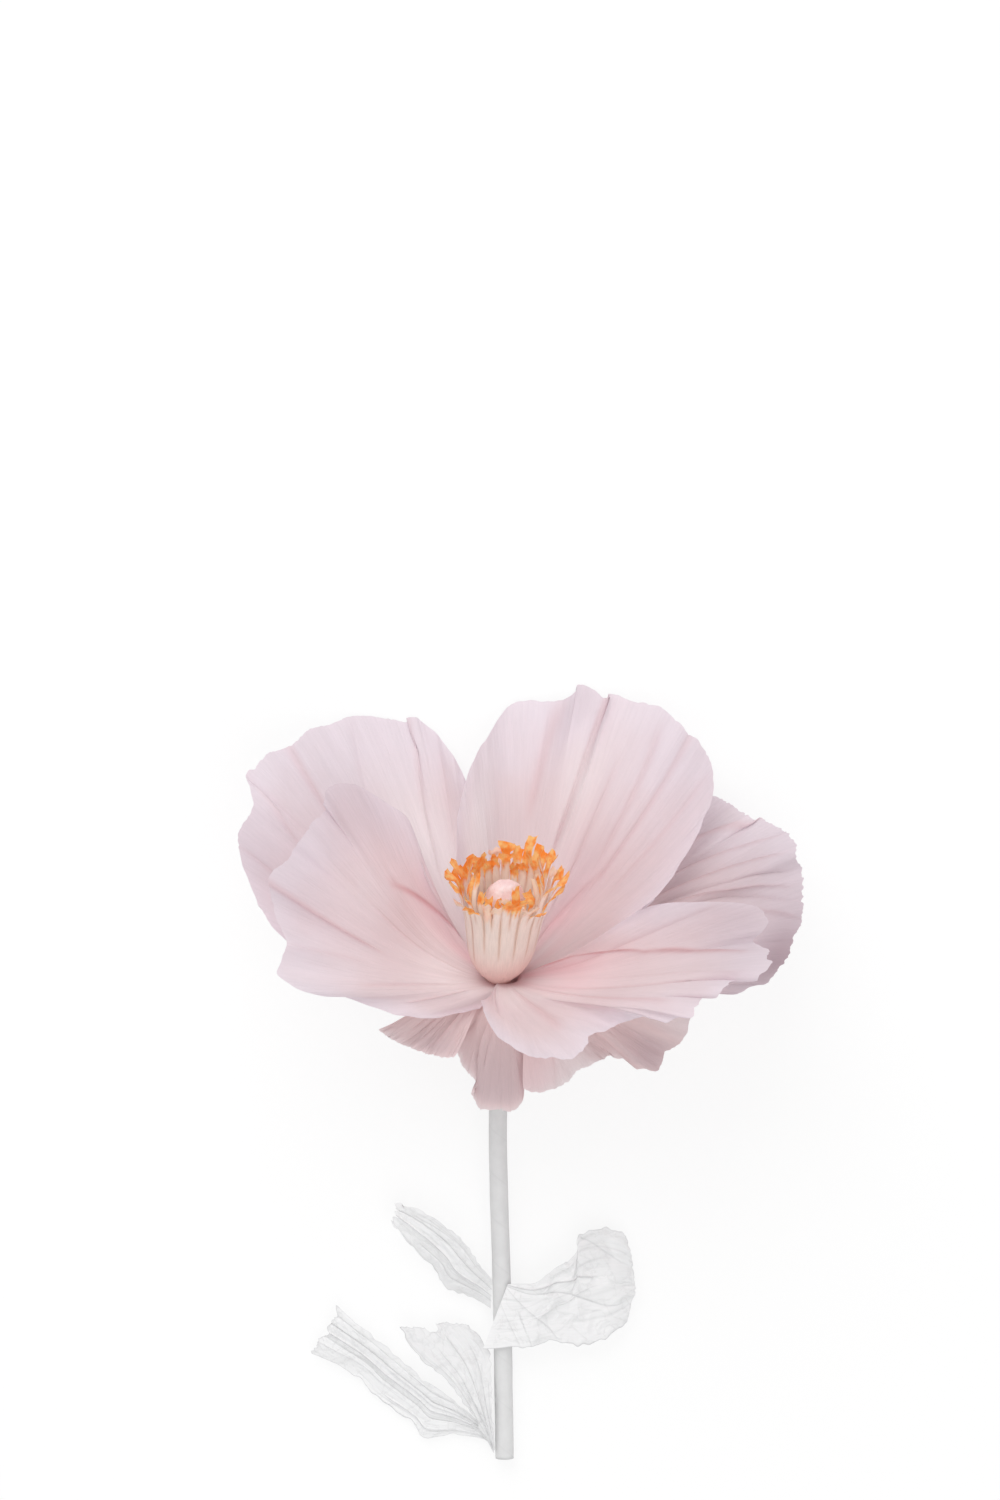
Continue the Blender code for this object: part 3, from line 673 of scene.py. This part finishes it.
# Painted shade of a petal in darker patches, or painted light in paler ones where the strength is
# below 0, round an (across, along) with width, height and strength
PATCHES = {
    "petal_front_right": [(0.8, 0.93, 0.24, 0.22, 0.3), (0.69, 0.08, 0.12, 0.12, -0.45)],
    "petal_back_right": [
        (0.87, 0.68, 0.1, 0.26, -0.85), (0.52, 0.72, 0.05, 0.18, -0.38),
        (0.56, 0.94, 0.04, 0.12, 0.24), (0.3, 0.92, 0.09, 0.18, 0.15),
        (0.28, 0.12, 0.1, 0.12, -0.8), (0.4, 0.36, 0.08, 0.2, 0.26)],
    "petal_front_left": [
        (0.24, 0.9, 0.13, 0.24, 0.3), (0.48, 0.9, 0.08, 0.2, 0.16), (0.4, 0.14, 0.16, 0.16, -0.4),
        (0.33, 0.66, 0.1, 0.16, -0.25), (0.13, 0.4, 0.06, 0.2, 0.2)],
    "petal_back_left": [(0.26, 0.52, 0.13, 0.24, -0.75), (0.79, 0.93, 0.1, 0.2, 0.22)],
    "petal_right": [
        (0.21, 0.97, 0.16, 0.16, 0.85), (0.46, 0.84, 0.24, 0.36, 0.27),
        (0.78, 0.95, 0.07, 0.14, -0.2)],
    "under_petal_left": [(0.7, 0.92, 0.25, 0.25, 0.3), (0.5, 1.03, 0.8, 0.07, -0.6)],
    "under_petal_front": [(0.7, 0.72, 0.26, 0.45, 0.36), (0.5, 1.03, 0.8, 0.08, -0.7)],
    "under_petal_right": [
        (0.76, 0.92, 0.11, 0.25, 0.4), (0.24, 0.9, 0.2, 0.3, -0.6), (0.96, 0.95, 0.06, 0.3, -0.6),
        (0.3, 1.03, 0.4, 0.07, -0.5)],
}

# Blushes of a petal, in the same order
BLUSHES = {
    "petal_front_right": [(0.9, 0.14, 0.12, 0.22, 0.5), (0.66, 0.14, 0.18, 0.2, 0.45)],
    "petal_back_right": [(0.38, 0.26, 0.1, 0.22, 0.35), (0.28, 0.12, 0.12, 0.14, 0.6)],
    "petal_front_left": [(0.14, 0.38, 0.07, 0.22, 0.25), (0.1, 0.12, 0.1, 0.14, 0.35)],
    "under_petal_right": [(0.12, 0.8, 0.12, 0.3, 0.3)],
}

# How far in mm a petal's rim is torn where it isn't the common amount
TORN = {"petal_front_right": 2.6, "petal_right": 1.0}


def make_petals():
    """The five petals of the bloom and the five sheets of the ruff below it."""
    pale = crepe("crepe_petal", PETAL_TINTS, 1.0)
    for count, (name, (spec, reach, rim)) in enumerate(PETALS.items()):
        corners = seen_at(rim, reach)
        petal(name, spec, corners, pale, PETAL_SEED + count * PETAL_SEED_STEP)
    deep = crepe("crepe_under", UNDER_TINTS, 5.0)
    under = {name: (spec, seen_at(rim, reach))
             for name, (spec, reach, rim) in UNDER_PETALS.items()}
    under.update({name: (spec, [held_at(*point) for point in rim])
                  for name, (spec, rim) in HIDDEN_PETALS.items()})
    for count, (name, (spec, corners)) in enumerate(under.items()):
        petal(name, spec, corners, deep, UNDER_SEED + count * PETAL_SEED_STEP,
              UNDER_COLUMNS, UNDER_ROWS, ragged=0.6, streaks=22, depth=0.35, swell=0.8)


# Stamens: each cup's outline as hundredths of its radius and height, its strips, the shares of
# its height where every first and every second slit begins, and its seed

CUP_FLOOR = 4.5
CUP_LEAN = -2.3
CUP_RADIUS = 16.0
CUP_HEIGHT = 36.0
OUTER_CUP = ([(22, -9), (22, -4), (23, -1), (33, 4.5), (47, 12), (60, 24), (68, 42), (76, 64),
              (90, 86), (108, 98)], 30, ((0.34, 0.50), (0.66, 0.76)), 31)
INNER_CUP = ([(8, 6), (16, 6), (28, 10), (40, 18), (49, 30), (56, 46), (63, 66), (74, 86),
              (70, 101)], 26, ((0.45, 0.60), (0.66, 0.78)), 47)
STRIP_ROWS = 64
STRIP_COLUMNS = 5
# Shares of a cup's height: where a strip bends freely, how long a slit takes to open, and where
# a broad tip's head begins and is full. Then how much the head widens and the edges are ragged,
# and in mm how hollow a strip is and how uneven its tip
FREE_FROM = 0.66
SLIT_OPENS = 0.3
HEAD_FROM = 0.93
HEAD_FULL = 0.97
HEAD_WIDENS = 0.8
STRIP_RAGGED = 0.3
STRIP_HOLLOW = 0.25
TIP_UNEVEN = 1.6
# Share of the strips with a broad head, share with little dye, and the dye that those keep
HEADED_SHARE = 0.45
BARE_SHARE = 0.2
BARE_DYE = 0.25
# A tip's added length in mm, a slit's gap in strips and where the dye begins, each from and to,
# and a tip's curl in mm, lean in strips and head's splay in mm, each as a mean and a spread
TIP_LENGTHS = (-3.8, 3.4)
SLIT_GAPS = (0.0, 0.12)
DYE_STARTS = (0.75, 0.90)
TIP_CURLS = (-0.3, 1.0)
TIP_LEANS = (0, 0.10)
HEAD_SPLAYS = (0, 0.9)
BALL_CENTRE = CUP_FLOOR + 27.0
BALL_RADIUS = 6.5
BALL_COLUMNS = 96
BALL_ROWS = 64
BALL_ASIDE = CUP_LEAN * (1 - (BALL_CENTRE - CUP_FLOOR) / CUP_HEIGHT)


def fringe(name, cup, material, node):
    """A cup slit into strips, each split at its torn, dyed and bent tip."""
    outline, strips, cuts, seed = cup
    rng = np.random.default_rng(seed)
    rows, wide = STRIP_ROWS, STRIP_COLUMNS
    profile = smooth([(r * CUP_RADIUS / 100, CUP_FLOOR + h * CUP_HEIGHT / 100)
                      for r, h in outline], rows)
    share = np.linspace(0, 1, rows + 1)
    step = 2 * math.pi / strips
    places, faces, tips, rise, round_, edge = [], [], [], [], [], []
    depths = [rng.uniform(*cuts[k % 2]) for k in range(strips)]
    for k in range(strips):
        longer, curl = rng.uniform(*TIP_LENGTHS), rng.normal(*TIP_CURLS)
        lean, gap = rng.normal(*TIP_LEANS), rng.uniform(*SLIT_GAPS)
        headed = rng.uniform(0, 1) < HEADED_SHARE
        dye, splay = rng.uniform(*DYE_STARTS), rng.normal(*HEAD_SPLAYS)
        bare = rng.uniform(0, 1) < BARE_SHARE
        for j in range(rows + 1):
            free = float(ramp(share[j], FREE_FROM, 1.0))
            end = float(ramp(share[j], HEAD_FROM, HEAD_FULL)) * headed
            for i in range(wide):
                side = (i / (wide - 1) - 0.5) * 2
                cut = depths[k] if side < 0 else depths[(k + 1) % strips]
                above = float(ramp(share[j], cut, min(1.0, cut + SLIT_OPENS)))
                ragged = free * value_noise(share[j] * 46, i * 2 + k * 5.1, seed + 2)
                widened = 1 + STRIP_RAGGED * ragged + HEAD_WIDENS * end
                half = 0.5 * (1 - gap * above - 0.05 * above) * widened
                angle = (k + 0.5 + side * half + lean * free) * step
                radius = profile[j, 0] + curl * free ** 3 + splay * end
                radius -= STRIP_HOLLOW * abs(side) * above
                height = profile[j, 1] + longer * free ** 2
                height += TIP_UNEVEN * free ** 6 * value_noise(i * 1.7, k * 2.9, seed + 3)
                aside = CUP_LEAN * (1 - (height - CUP_FLOOR) / CUP_HEIGHT)
                places.append((aside + radius * math.cos(angle), radius * math.sin(angle), height))
                torn = share[j] + 0.05 * value_noise(i * 1.3, k * 1.9, seed + 4)
                tips.append(float(ramp(torn, dye, dye + 0.05)) * (BARE_DYE if bare else 1.0))
                rise.append(share[j])
                round_.append((k + side * 0.5) / strips)
                # Painted shade along the strips' edges where the slits open
                edge.append(float(ramp(share[j], cut - 0.06, cut + 0.05)) * abs(side) ** 3)
        base = k * (rows + 1) * wide
        for j in range(rows):
            for i in range(wide - 1):
                a = base + j * wide + i
                faces.append((a, a + 1, a + wide + 1, a + wide))
    make_piece(name, to_world(places), faces, material, [node],
               {"tip": tips, "along": rise, "across": round_, "edge": edge})


def make_stamens():
    """The two slit cups, and the wrapped ball that they stand round."""
    fringe("stamen_outer_paper", OUTER_CUP, stamen_paper("crepe_stamen", OUTER_CREAM),
           "stamen_fringe_outer")
    # Paler cream on the inner cup: painted light where it lies in shade
    fringe("stamen_inner_paper", INNER_CUP, stamen_paper("crepe_stamen_inner_lit", INNER_LIT_CREAM),
           "stamen_fringe_inner")
    turn = np.linspace(0, 2 * math.pi, BALL_COLUMNS, endpoint=False)
    tall = np.linspace(0.0, math.pi, BALL_ROWS)
    u, v = np.meshgrid(turn, tall, indexing="ij")
    around = np.cos(u) * 2 + 3, np.sin(u) * 2 + 3
    lumps = value_noise(around[0] * 2.2, around[1] * 2.2 + v * 1.5, 5) * 0.35
    ridges = 0.25 * np.abs(np.sin(u * 5 + 1.5 * value_noise(around[0], v, 6)))
    radius = BALL_RADIUS + (lumps - ridges) * np.sin(v)
    places = np.stack([BALL_ASIDE + radius * np.sin(v) * np.cos(u), radius * np.sin(v) * np.sin(u),
                       BALL_CENTRE - radius * np.cos(v)], 2)
    make_piece("pistil_paper", to_world(places.reshape(-1, 3)),
               grid_faces(BALL_COLUMNS, BALL_ROWS, True), ball_paper("crepe_ball"),
               ["pistil_ball"])


# Stem: sizes in mm. It runs from STEM_TOP on the bloom's axis past the claws' ends and through
# the bends, which are places from the neck. WRAP_PITCH is the wrapping's rise in one turn

STEM_RADIUS = 2.8
STEM_TOP = 1.0
STEM_PARTS = 150
STEM_SIDES = 40
WIRE_RADIUS = 1.0
WIRE_GAP = 0.3
CLAW_END_GAP = 0.3
WRAP_PITCH = 14.0
WRAP_UNEVENNESS = 0.05
STEM_BENDS = [(-1.3, -18, -15.0), (-2.7, -38, -22.6), (-2.4, -65, -27.0), (-1.5, -93, -30.0),
              (-0.7, -145, -32.3)]


def tube(line, radius):
    """Places round a line, one ring of STEM_SIDES at each of its points, side by side."""
    ahead = unit(np.gradient(line, axis=0))
    side = unit(np.array([1.0, 0, 0]) - ahead * ahead[:, :1])
    up = np.cross(ahead, side)
    turn = np.linspace(0, 2 * math.pi, STEM_SIDES, endpoint=False)
    ring = side[:, None] * np.cos(turn)[None, :, None] + up[:, None] * np.sin(turn)[None, :, None]
    return (line[:, None] + ring * radius).transpose(1, 0, 2)


def make_stem():
    """The wrapped stem with a hole along it, and the wire in the hole, up to the ball."""
    claw_end = UP_AXIS * (CLAW_LOW - CLAW_END_GAP)
    stem = smooth([tuple(claw_end)] + STEM_BENDS, STEM_PARTS)
    line = np.vstack([[tuple(UP_AXIS * STEM_TOP)], stem]) + np.array(NECK)
    turn = np.linspace(0, 2 * math.pi, STEM_SIDES, endpoint=False)
    far = np.concatenate([[0], np.cumsum(np.linalg.norm(np.diff(line, axis=0), axis=1))])
    wave = WRAP_UNEVENNESS * value_noise(far[:, None] / 6, np.cos(turn)[None] * 2 + 5, 9)
    outer = tube(line, (STEM_RADIUS + wave)[:, :, None])
    places = np.concatenate([outer, tube(line, WIRE_RADIUS + WIRE_GAP)[:, ::-1]], 1)
    turns = far[None, :] / WRAP_PITCH + (turn / (2 * math.pi))[:, None]
    turns = np.concatenate([turns, turns[:, ::-1]], 1)
    rows = places.shape[1]
    faces = grid_faces(STEM_SIDES, rows, True).tolist()
    for k in range(STEM_SIDES):
        n = (k + 1) % STEM_SIDES
        faces.append((k * rows + rows - 1, n * rows + rows - 1, n * rows, k * rows))
    make_piece("stem_paper", places.reshape(-1, 3), faces, stem_paper("wrap_paper"),
               ["stem_wrap"], {"turn": turns})
    ball = UP_AXIS * BALL_CENTRE + Vector((BALL_ASIDE, 0, 0)) + NECK
    line = np.vstack([[tuple(ball)], line])
    rows = len(line)
    places = np.vstack([tube(line, WIRE_RADIUS).reshape(-1, 3), line[-1:], line[:1]])
    faces = grid_faces(STEM_SIDES, rows, True).tolist()
    for k in range(STEM_SIDES):
        n = (k + 1) % STEM_SIDES
        faces.append((k * rows + rows - 1, n * rows + rows - 1, len(places) - 2))
        faces.append((n * rows, k * rows, len(places) - 1))
    make_piece("stem_metal", places, faces, wire_metal("florist_wire"), ["stem_wire"])


# Leaves: two long edges from the stem to the tip, from the neck in mm, then the folds with the
# darkness of their painted shade in place of redness, the parts with painted shade, where the leaf
# lies double, in bands and over a whole leaf, as across from and to, along from and to, and
# darkness, the crumpling in mm, and the tip's lobes as across, half width and height in mm
LEAVES = {
    "leaf_upper_left": (
        [(-4.4, -90, -28.2), (-9, -84, -23), (-13, -78, -21), (-20, -72, -21), (-27, -68, -23),
         (-33, -66.5, -25)],
        [(-4.9, -99, -31.0), (-8.2, -97, -32), (-13, -95, -32), (-19, -92.5, -32),
         (-22, -87, -30), (-29, -80, -28), (-34.5, -73, -26)],
        [(0.35, 0.0, 0.3, 1.0, 0.03, 1.5, 0.5), (0.55, 0.0, 0.52, 1.0, 0.03, -1.2, 0.4),
         (0.75, 0.0, 0.8, 0.7, 0.03, 1.0, 0.3), (0.15, 0.0, 0.12, 0.8, 0.02, 0.5, 0.15)],
        [(0.52, 1.05, -0.1, 0.62, 0.02)], 0.45, [(0.1, 0.2, 0.8), (0.85, 0.25, 0.8)]),
    "leaf_right": (
        [(0.3, -91, -26.2), (8.6, -90, -24), (15, -86, -24), (21, -81.5, -25), (21.5, -77, -26),
         (26, -74.2, -26.5), (33, -74.0, -27), (36, -76.5, -28)],
        [(-7.3, -111, -27.4), (1.6, -110.5, -26.2), (7, -110, -25.5), (13, -108.5, -27),
         (23, -110, -28), (31, -107.5, -29), (35.5, -104, -30)],
        [(0.02, 0.0, 0.42, 0.75, 0.03, 1.4, 0.45), (0.04, 0.0, 0.75, 0.9, 0.03, -1.0, 0.3),
         (0.06, 0.0, 0.95, 0.5, 0.03, 0.8, 0.25), (0.02, 0.66, 0.3, 0.92, 0.03, -0.7, 0.2),
         (0.6, 0.3, 0.5, 0.75, 0.02, 0.7, 0.25), (0.3, 0.0, 0.98, 0.25, 0.02, 0.6, 0.3)],
        [(-0.05, 0.35, 0.64, 0.86, 0.07), (-0.1, 1.1, 0.9, 1.1, 0.05)], 1.3, [(0.5, 0.54, 3.4)]),
    "leaf_lower_left": (
        [(-4.1, -138, -31.6), (-15, -128, -30.5), (-24, -122, -30), (-33, -114, -29),
         (-45, -104, -28), (-51, -99, -29)],
        [(-4.1, -143.5, -32.8), (-6.7, -139.5, -33), (-16, -138, -33), (-25, -138.5, -33),
         (-29, -134, -33), (-39, -127, -33), (-46, -120, -33), (-58, -113.5, -32)],
        [(0.25, 0.0, 0.34, 1.0, 0.025, 1.4, 0.45), (0.42, 0.0, 0.5, 1.0, 0.025, -1.3, 0.4),
         (0.6, 0.0, 0.62, 1.0, 0.025, 1.0, 0.3), (0.8, 0.0, 0.85, 0.6, 0.02, -0.8, 0.25),
         (0.1, 0.0, 0.15, 1.0, 0.02, 0.6, 0.15)],
        [(0.33, 0.6, 0.0, 1.1, 0.06)], 0.45, [(0.25, 0.25, 1.2), (0.8, 0.22, 1.4)]),
    "leaf_lower_middle": (
        [(-3.6, -142, -29.9), (-4.5, -129, -27), (-4.7, -117, -28), (-6.5, -110, -29.5),
         (-12, -104.0, -29.5)],
        [(-4.3, -142.8, -31.4), (-8.2, -135, -28), (-14, -126, -26), (-20, -119, -26),
         (-27, -113, -26), (-32, -105, -27)],
        [(0.25, 0.0, 0.22, 0.8, 0.03, 0.9, 0.25), (0.45, 0.0, 0.44, 0.9, 0.03, -0.9, 0.3),
         (0.65, 0.0, 0.66, 0.8, 0.03, 0.8, 0.25), (0.85, 0.0, 0.88, 0.7, 0.03, -0.7, 0.25)],
        [(0.9, 1.1, 0.0, 1.1, 0.05), (-0.1, 1.1, -0.1, 1.1, 0.09)], 0.8,
        [(0.22, 0.3, 0.9), (0.55, 0.1, -2.2), (0.84, 0.18, 0.7)]),
}
LEAF_COLUMNS = 120
LEAF_ROWS = 160
LEAF_CREASES = 22
# A crease's place, width, slant, start and length, each from and to
CREASE_SPANS = (0, 1), (0.006, 0.014), (-0.3, 0.3), (-0.1, 0.7), (0.15, 0.6)
LEAF_SEED = 140
LEAF_SEED_STEP = 9
# How far in mm a leaf stays above the floor
LEAF_CLEARANCE = 0.4


def leaf(name, spec, material, seed):
    """A crumpled sheet between its two long edges."""
    upper, lower, folds, doubles, crumple, lobes = spec
    columns, rows = LEAF_COLUMNS, LEAF_ROWS
    top, bottom = smooth(upper, rows), smooth(lower, rows)
    across = np.linspace(0, 1, columns + 1)
    along = np.linspace(0, 1, rows + 1)
    u, v = np.meshgrid(across, along, indexing="ij")
    grid = top[None] * (1 - u[:, :, None]) + bottom[None] * u[:, :, None]
    outward = unit(grid[:, -1] - grid[:, -8])
    tip = 1.5 * value_noise(across * 7, 0.5, seed) + 0.5 * value_noise(across * 31, 0.5, seed + 1)
    for middle, wide, tall in lobes:
        tip += tall * np.sqrt(np.maximum(0, 1 - ((across - middle) / wide) ** 4))
    grid += (outward * tip[:, None])[:, None] * ramp(v, 0.80, 1.0)[:, :, None]
    side = unit(bottom - top)
    edge = 0.5 * value_noise(v * 26, u * 0 + 3, seed + 2) * ramp(v, 0.05, 0.2)
    edge *= ramp(u, 0.9, 1) - ramp(1 - u, 0.9, 1)
    grid += side[None] * edge[:, :, None]
    swell = ramp(v, 0.0, 0.35)
    height, shade = np.zeros_like(u), np.zeros_like(u)
    for u0, v0, u1, v1, wide, deep, dark in folds:
        share = np.clip((v - v0) / (v1 - v0), 0, 1)
        distance = (u - (u0 + (u1 - u0) * share)) / wide
        reach = ramp(v, v0 - 0.08, v0 + 0.04) * (1 - ramp(v, v1 - 0.04, v1 + 0.06))
        height += 0.55 * deep * np.exp(-1.6 * np.abs(distance)) * reach * (0.3 + 0.7 * swell)
        # Painted shade along each fold
        shade += 1.2 * dark * np.exp(-(distance * 4.5) ** 2) * reach
    # Painted shade where the leaf lies double, in bands and over a whole leaf
    for left, right, near, far, dark in doubles:
        beside = ramp(u, left - 0.01, left + 0.01) - ramp(u, right - 0.01, right + 0.01)
        shade += dark * beside * (ramp(v, near - 0.02, near + 0.02)
                                  - ramp(v, far - 0.02, far + 0.02))
    rng = np.random.default_rng(seed)
    for _ in range(LEAF_CREASES):
        middle, wide, slant, begins, length = (rng.uniform(*span) for span in CREASE_SPANS)
        ends = begins + length
        distance = (u - (middle + slant * (v - 0.5))) / wide
        reach = ramp(v, begins, begins + 0.1) * (1 - ramp(v, ends - 0.1, ends))
        height += rng.normal(0, 0.14) * np.exp(-np.abs(distance)) * reach
        # Painted shade along each small crease
        shade += rng.uniform(0.04, 0.2) * np.exp(-distance ** 2) * reach
    # Painted shade along the leaf's edges
    shade += 0.55 * ramp(u, 0.986, 1.0) + 0.35 * (ramp(1 - u, 0.988, 1.0) + ramp(v, 0.992, 1.0))
    ridged = 1 - 2 * np.abs(value_noise(u * 4 + v * 3, v * 6 - u * 2, seed + 3))
    sharp = 1 - 2 * np.abs(value_noise(u * 9 - v * 5, v * 11 + u * 3, seed + 4))
    height += crumple * (0.5 * ridged + 0.2 * sharp) * swell
    grid = grid + grid_normals(grid) * height[:, :, None]
    places = grid.reshape(-1, 3) + np.array(NECK)
    places[:, 2] = np.maximum(places[:, 2], LEAF_CLEARANCE)
    make_piece(name + "_paper", places, grid_faces(columns + 1, rows + 1), material, [name],
               {"across": u, "along": v, "shade": shade})


def make_leaves():
    """The four white leaves on the stem."""
    paper = leaf_paper("leaf_crumpled", 2.0)
    for count, (name, spec) in enumerate(LEAVES.items()):
        leaf(name, spec, paper, LEAF_SEED + count * LEAF_SEED_STEP)


# Surroundings: half the floor's side in m, the share of its own white that the camera sees, the
# lamps' places from the point that they are aimed at, their widths in m and powers in W

FLOOR_HALF = 6.0
FLOOR_GLOW = 0.8
AIM_FROM_NECK = (0, 0.02, 0.02)
LAMPS = {"key": ((-0.4, 1.1, 1.1), 1.5, 12.0), "fill": ((0.3, -0.7, 1.5), 1.4, 7.0)}
STUDIO_STRENGTH = 0.66


def floor_material():
    """White floor that shows white to the camera and in reflections, and still takes a shadow."""
    n = Nodes("floor_white", roughness=0.95)
    n.shader.inputs["Base Color"].default_value = (*FLOOR_WHITE, 1.0)
    n.shader.inputs["Specular IOR Level"].default_value = 0.0
    rays = n.add("ShaderNodeLightPath").outputs
    seen = n.math("MAXIMUM", rays["Is Camera Ray"], rays["Is Glossy Ray"])
    seen = n.math("MAXIMUM", seen, rays["Is Transmission Ray"])
    glow = n.add("ShaderNodeEmission")
    n.feed(seen, glow.inputs["Strength"])
    return n.show(n.math("MULTIPLY", seen, FLOOR_GLOW), glow.outputs[0])


def make_stage():
    """The floor that the flower lies on."""
    size = FLOOR_HALF
    mesh = bpy.data.meshes.new("floor")
    mesh.from_pydata([(-size, -size, 0), (size, -size, 0), (size, size, 0), (-size, size, 0)],
                     [], [(0, 1, 2, 3)])
    mesh.materials.append(floor_material())
    floor = add_object("floor", mesh)


def area_light(name, place, size, power):
    """Soft lamp aimed at the bloom, at a place from the point that it is aimed at, in metres."""
    data = bpy.data.lights.new(name, "AREA")
    data.shape = "DISK"
    data.size = size
    data.energy = power
    lamp = add_object(name, data)
    aim = NECK * MM + Vector(AIM_FROM_NECK)
    lamp.location = aim + Vector(place)
    lamp.rotation_euler = (-Vector(place)).to_track_quat("-Z", "Y").to_euler()


def make_light():
    """Two soft lamps and a white studio round them."""
    for name, (place, size, power) in LAMPS.items():
        area_light(name, place, size, power)
    world = bpy.data.worlds.new("studio")
    world.use_nodes = True
    background = world.node_tree.nodes["Background"]
    background.inputs["Color"].default_value = (1, 1, 1, 1)
    background.inputs["Strength"].default_value = STUDIO_STRENGTH
    bpy.context.scene.world = world


def make_camera():
    """Camera over the bloom, looking straight down."""
    data = bpy.data.cameras.new("camera")
    data.sensor_fit = "VERTICAL"
    data.sensor_height = SENSOR_HEIGHT
    data.lens = CAMERA_LENS
    data.clip_end = CAMERA_CLIP_END
    camera = add_object("camera", data)
    aside = Vector((*CAMERA_ASIDE, CAMERA_HEIGHT))
    camera.location = (NECK + aside) * MM
    bpy.context.scene.camera = camera


def main():
    """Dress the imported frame."""
    bpy.context.scene.view_settings.view_transform = "Standard"
    make_camera()
    make_petals()
    make_stamens()
    make_stem()
    make_leaves()
    band = crepe("crepe_binding", UNDER_TINTS, 9.0)
    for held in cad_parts["neck_binding"].material_slots:
        held.material = band
    make_light()
    make_stage()


main()
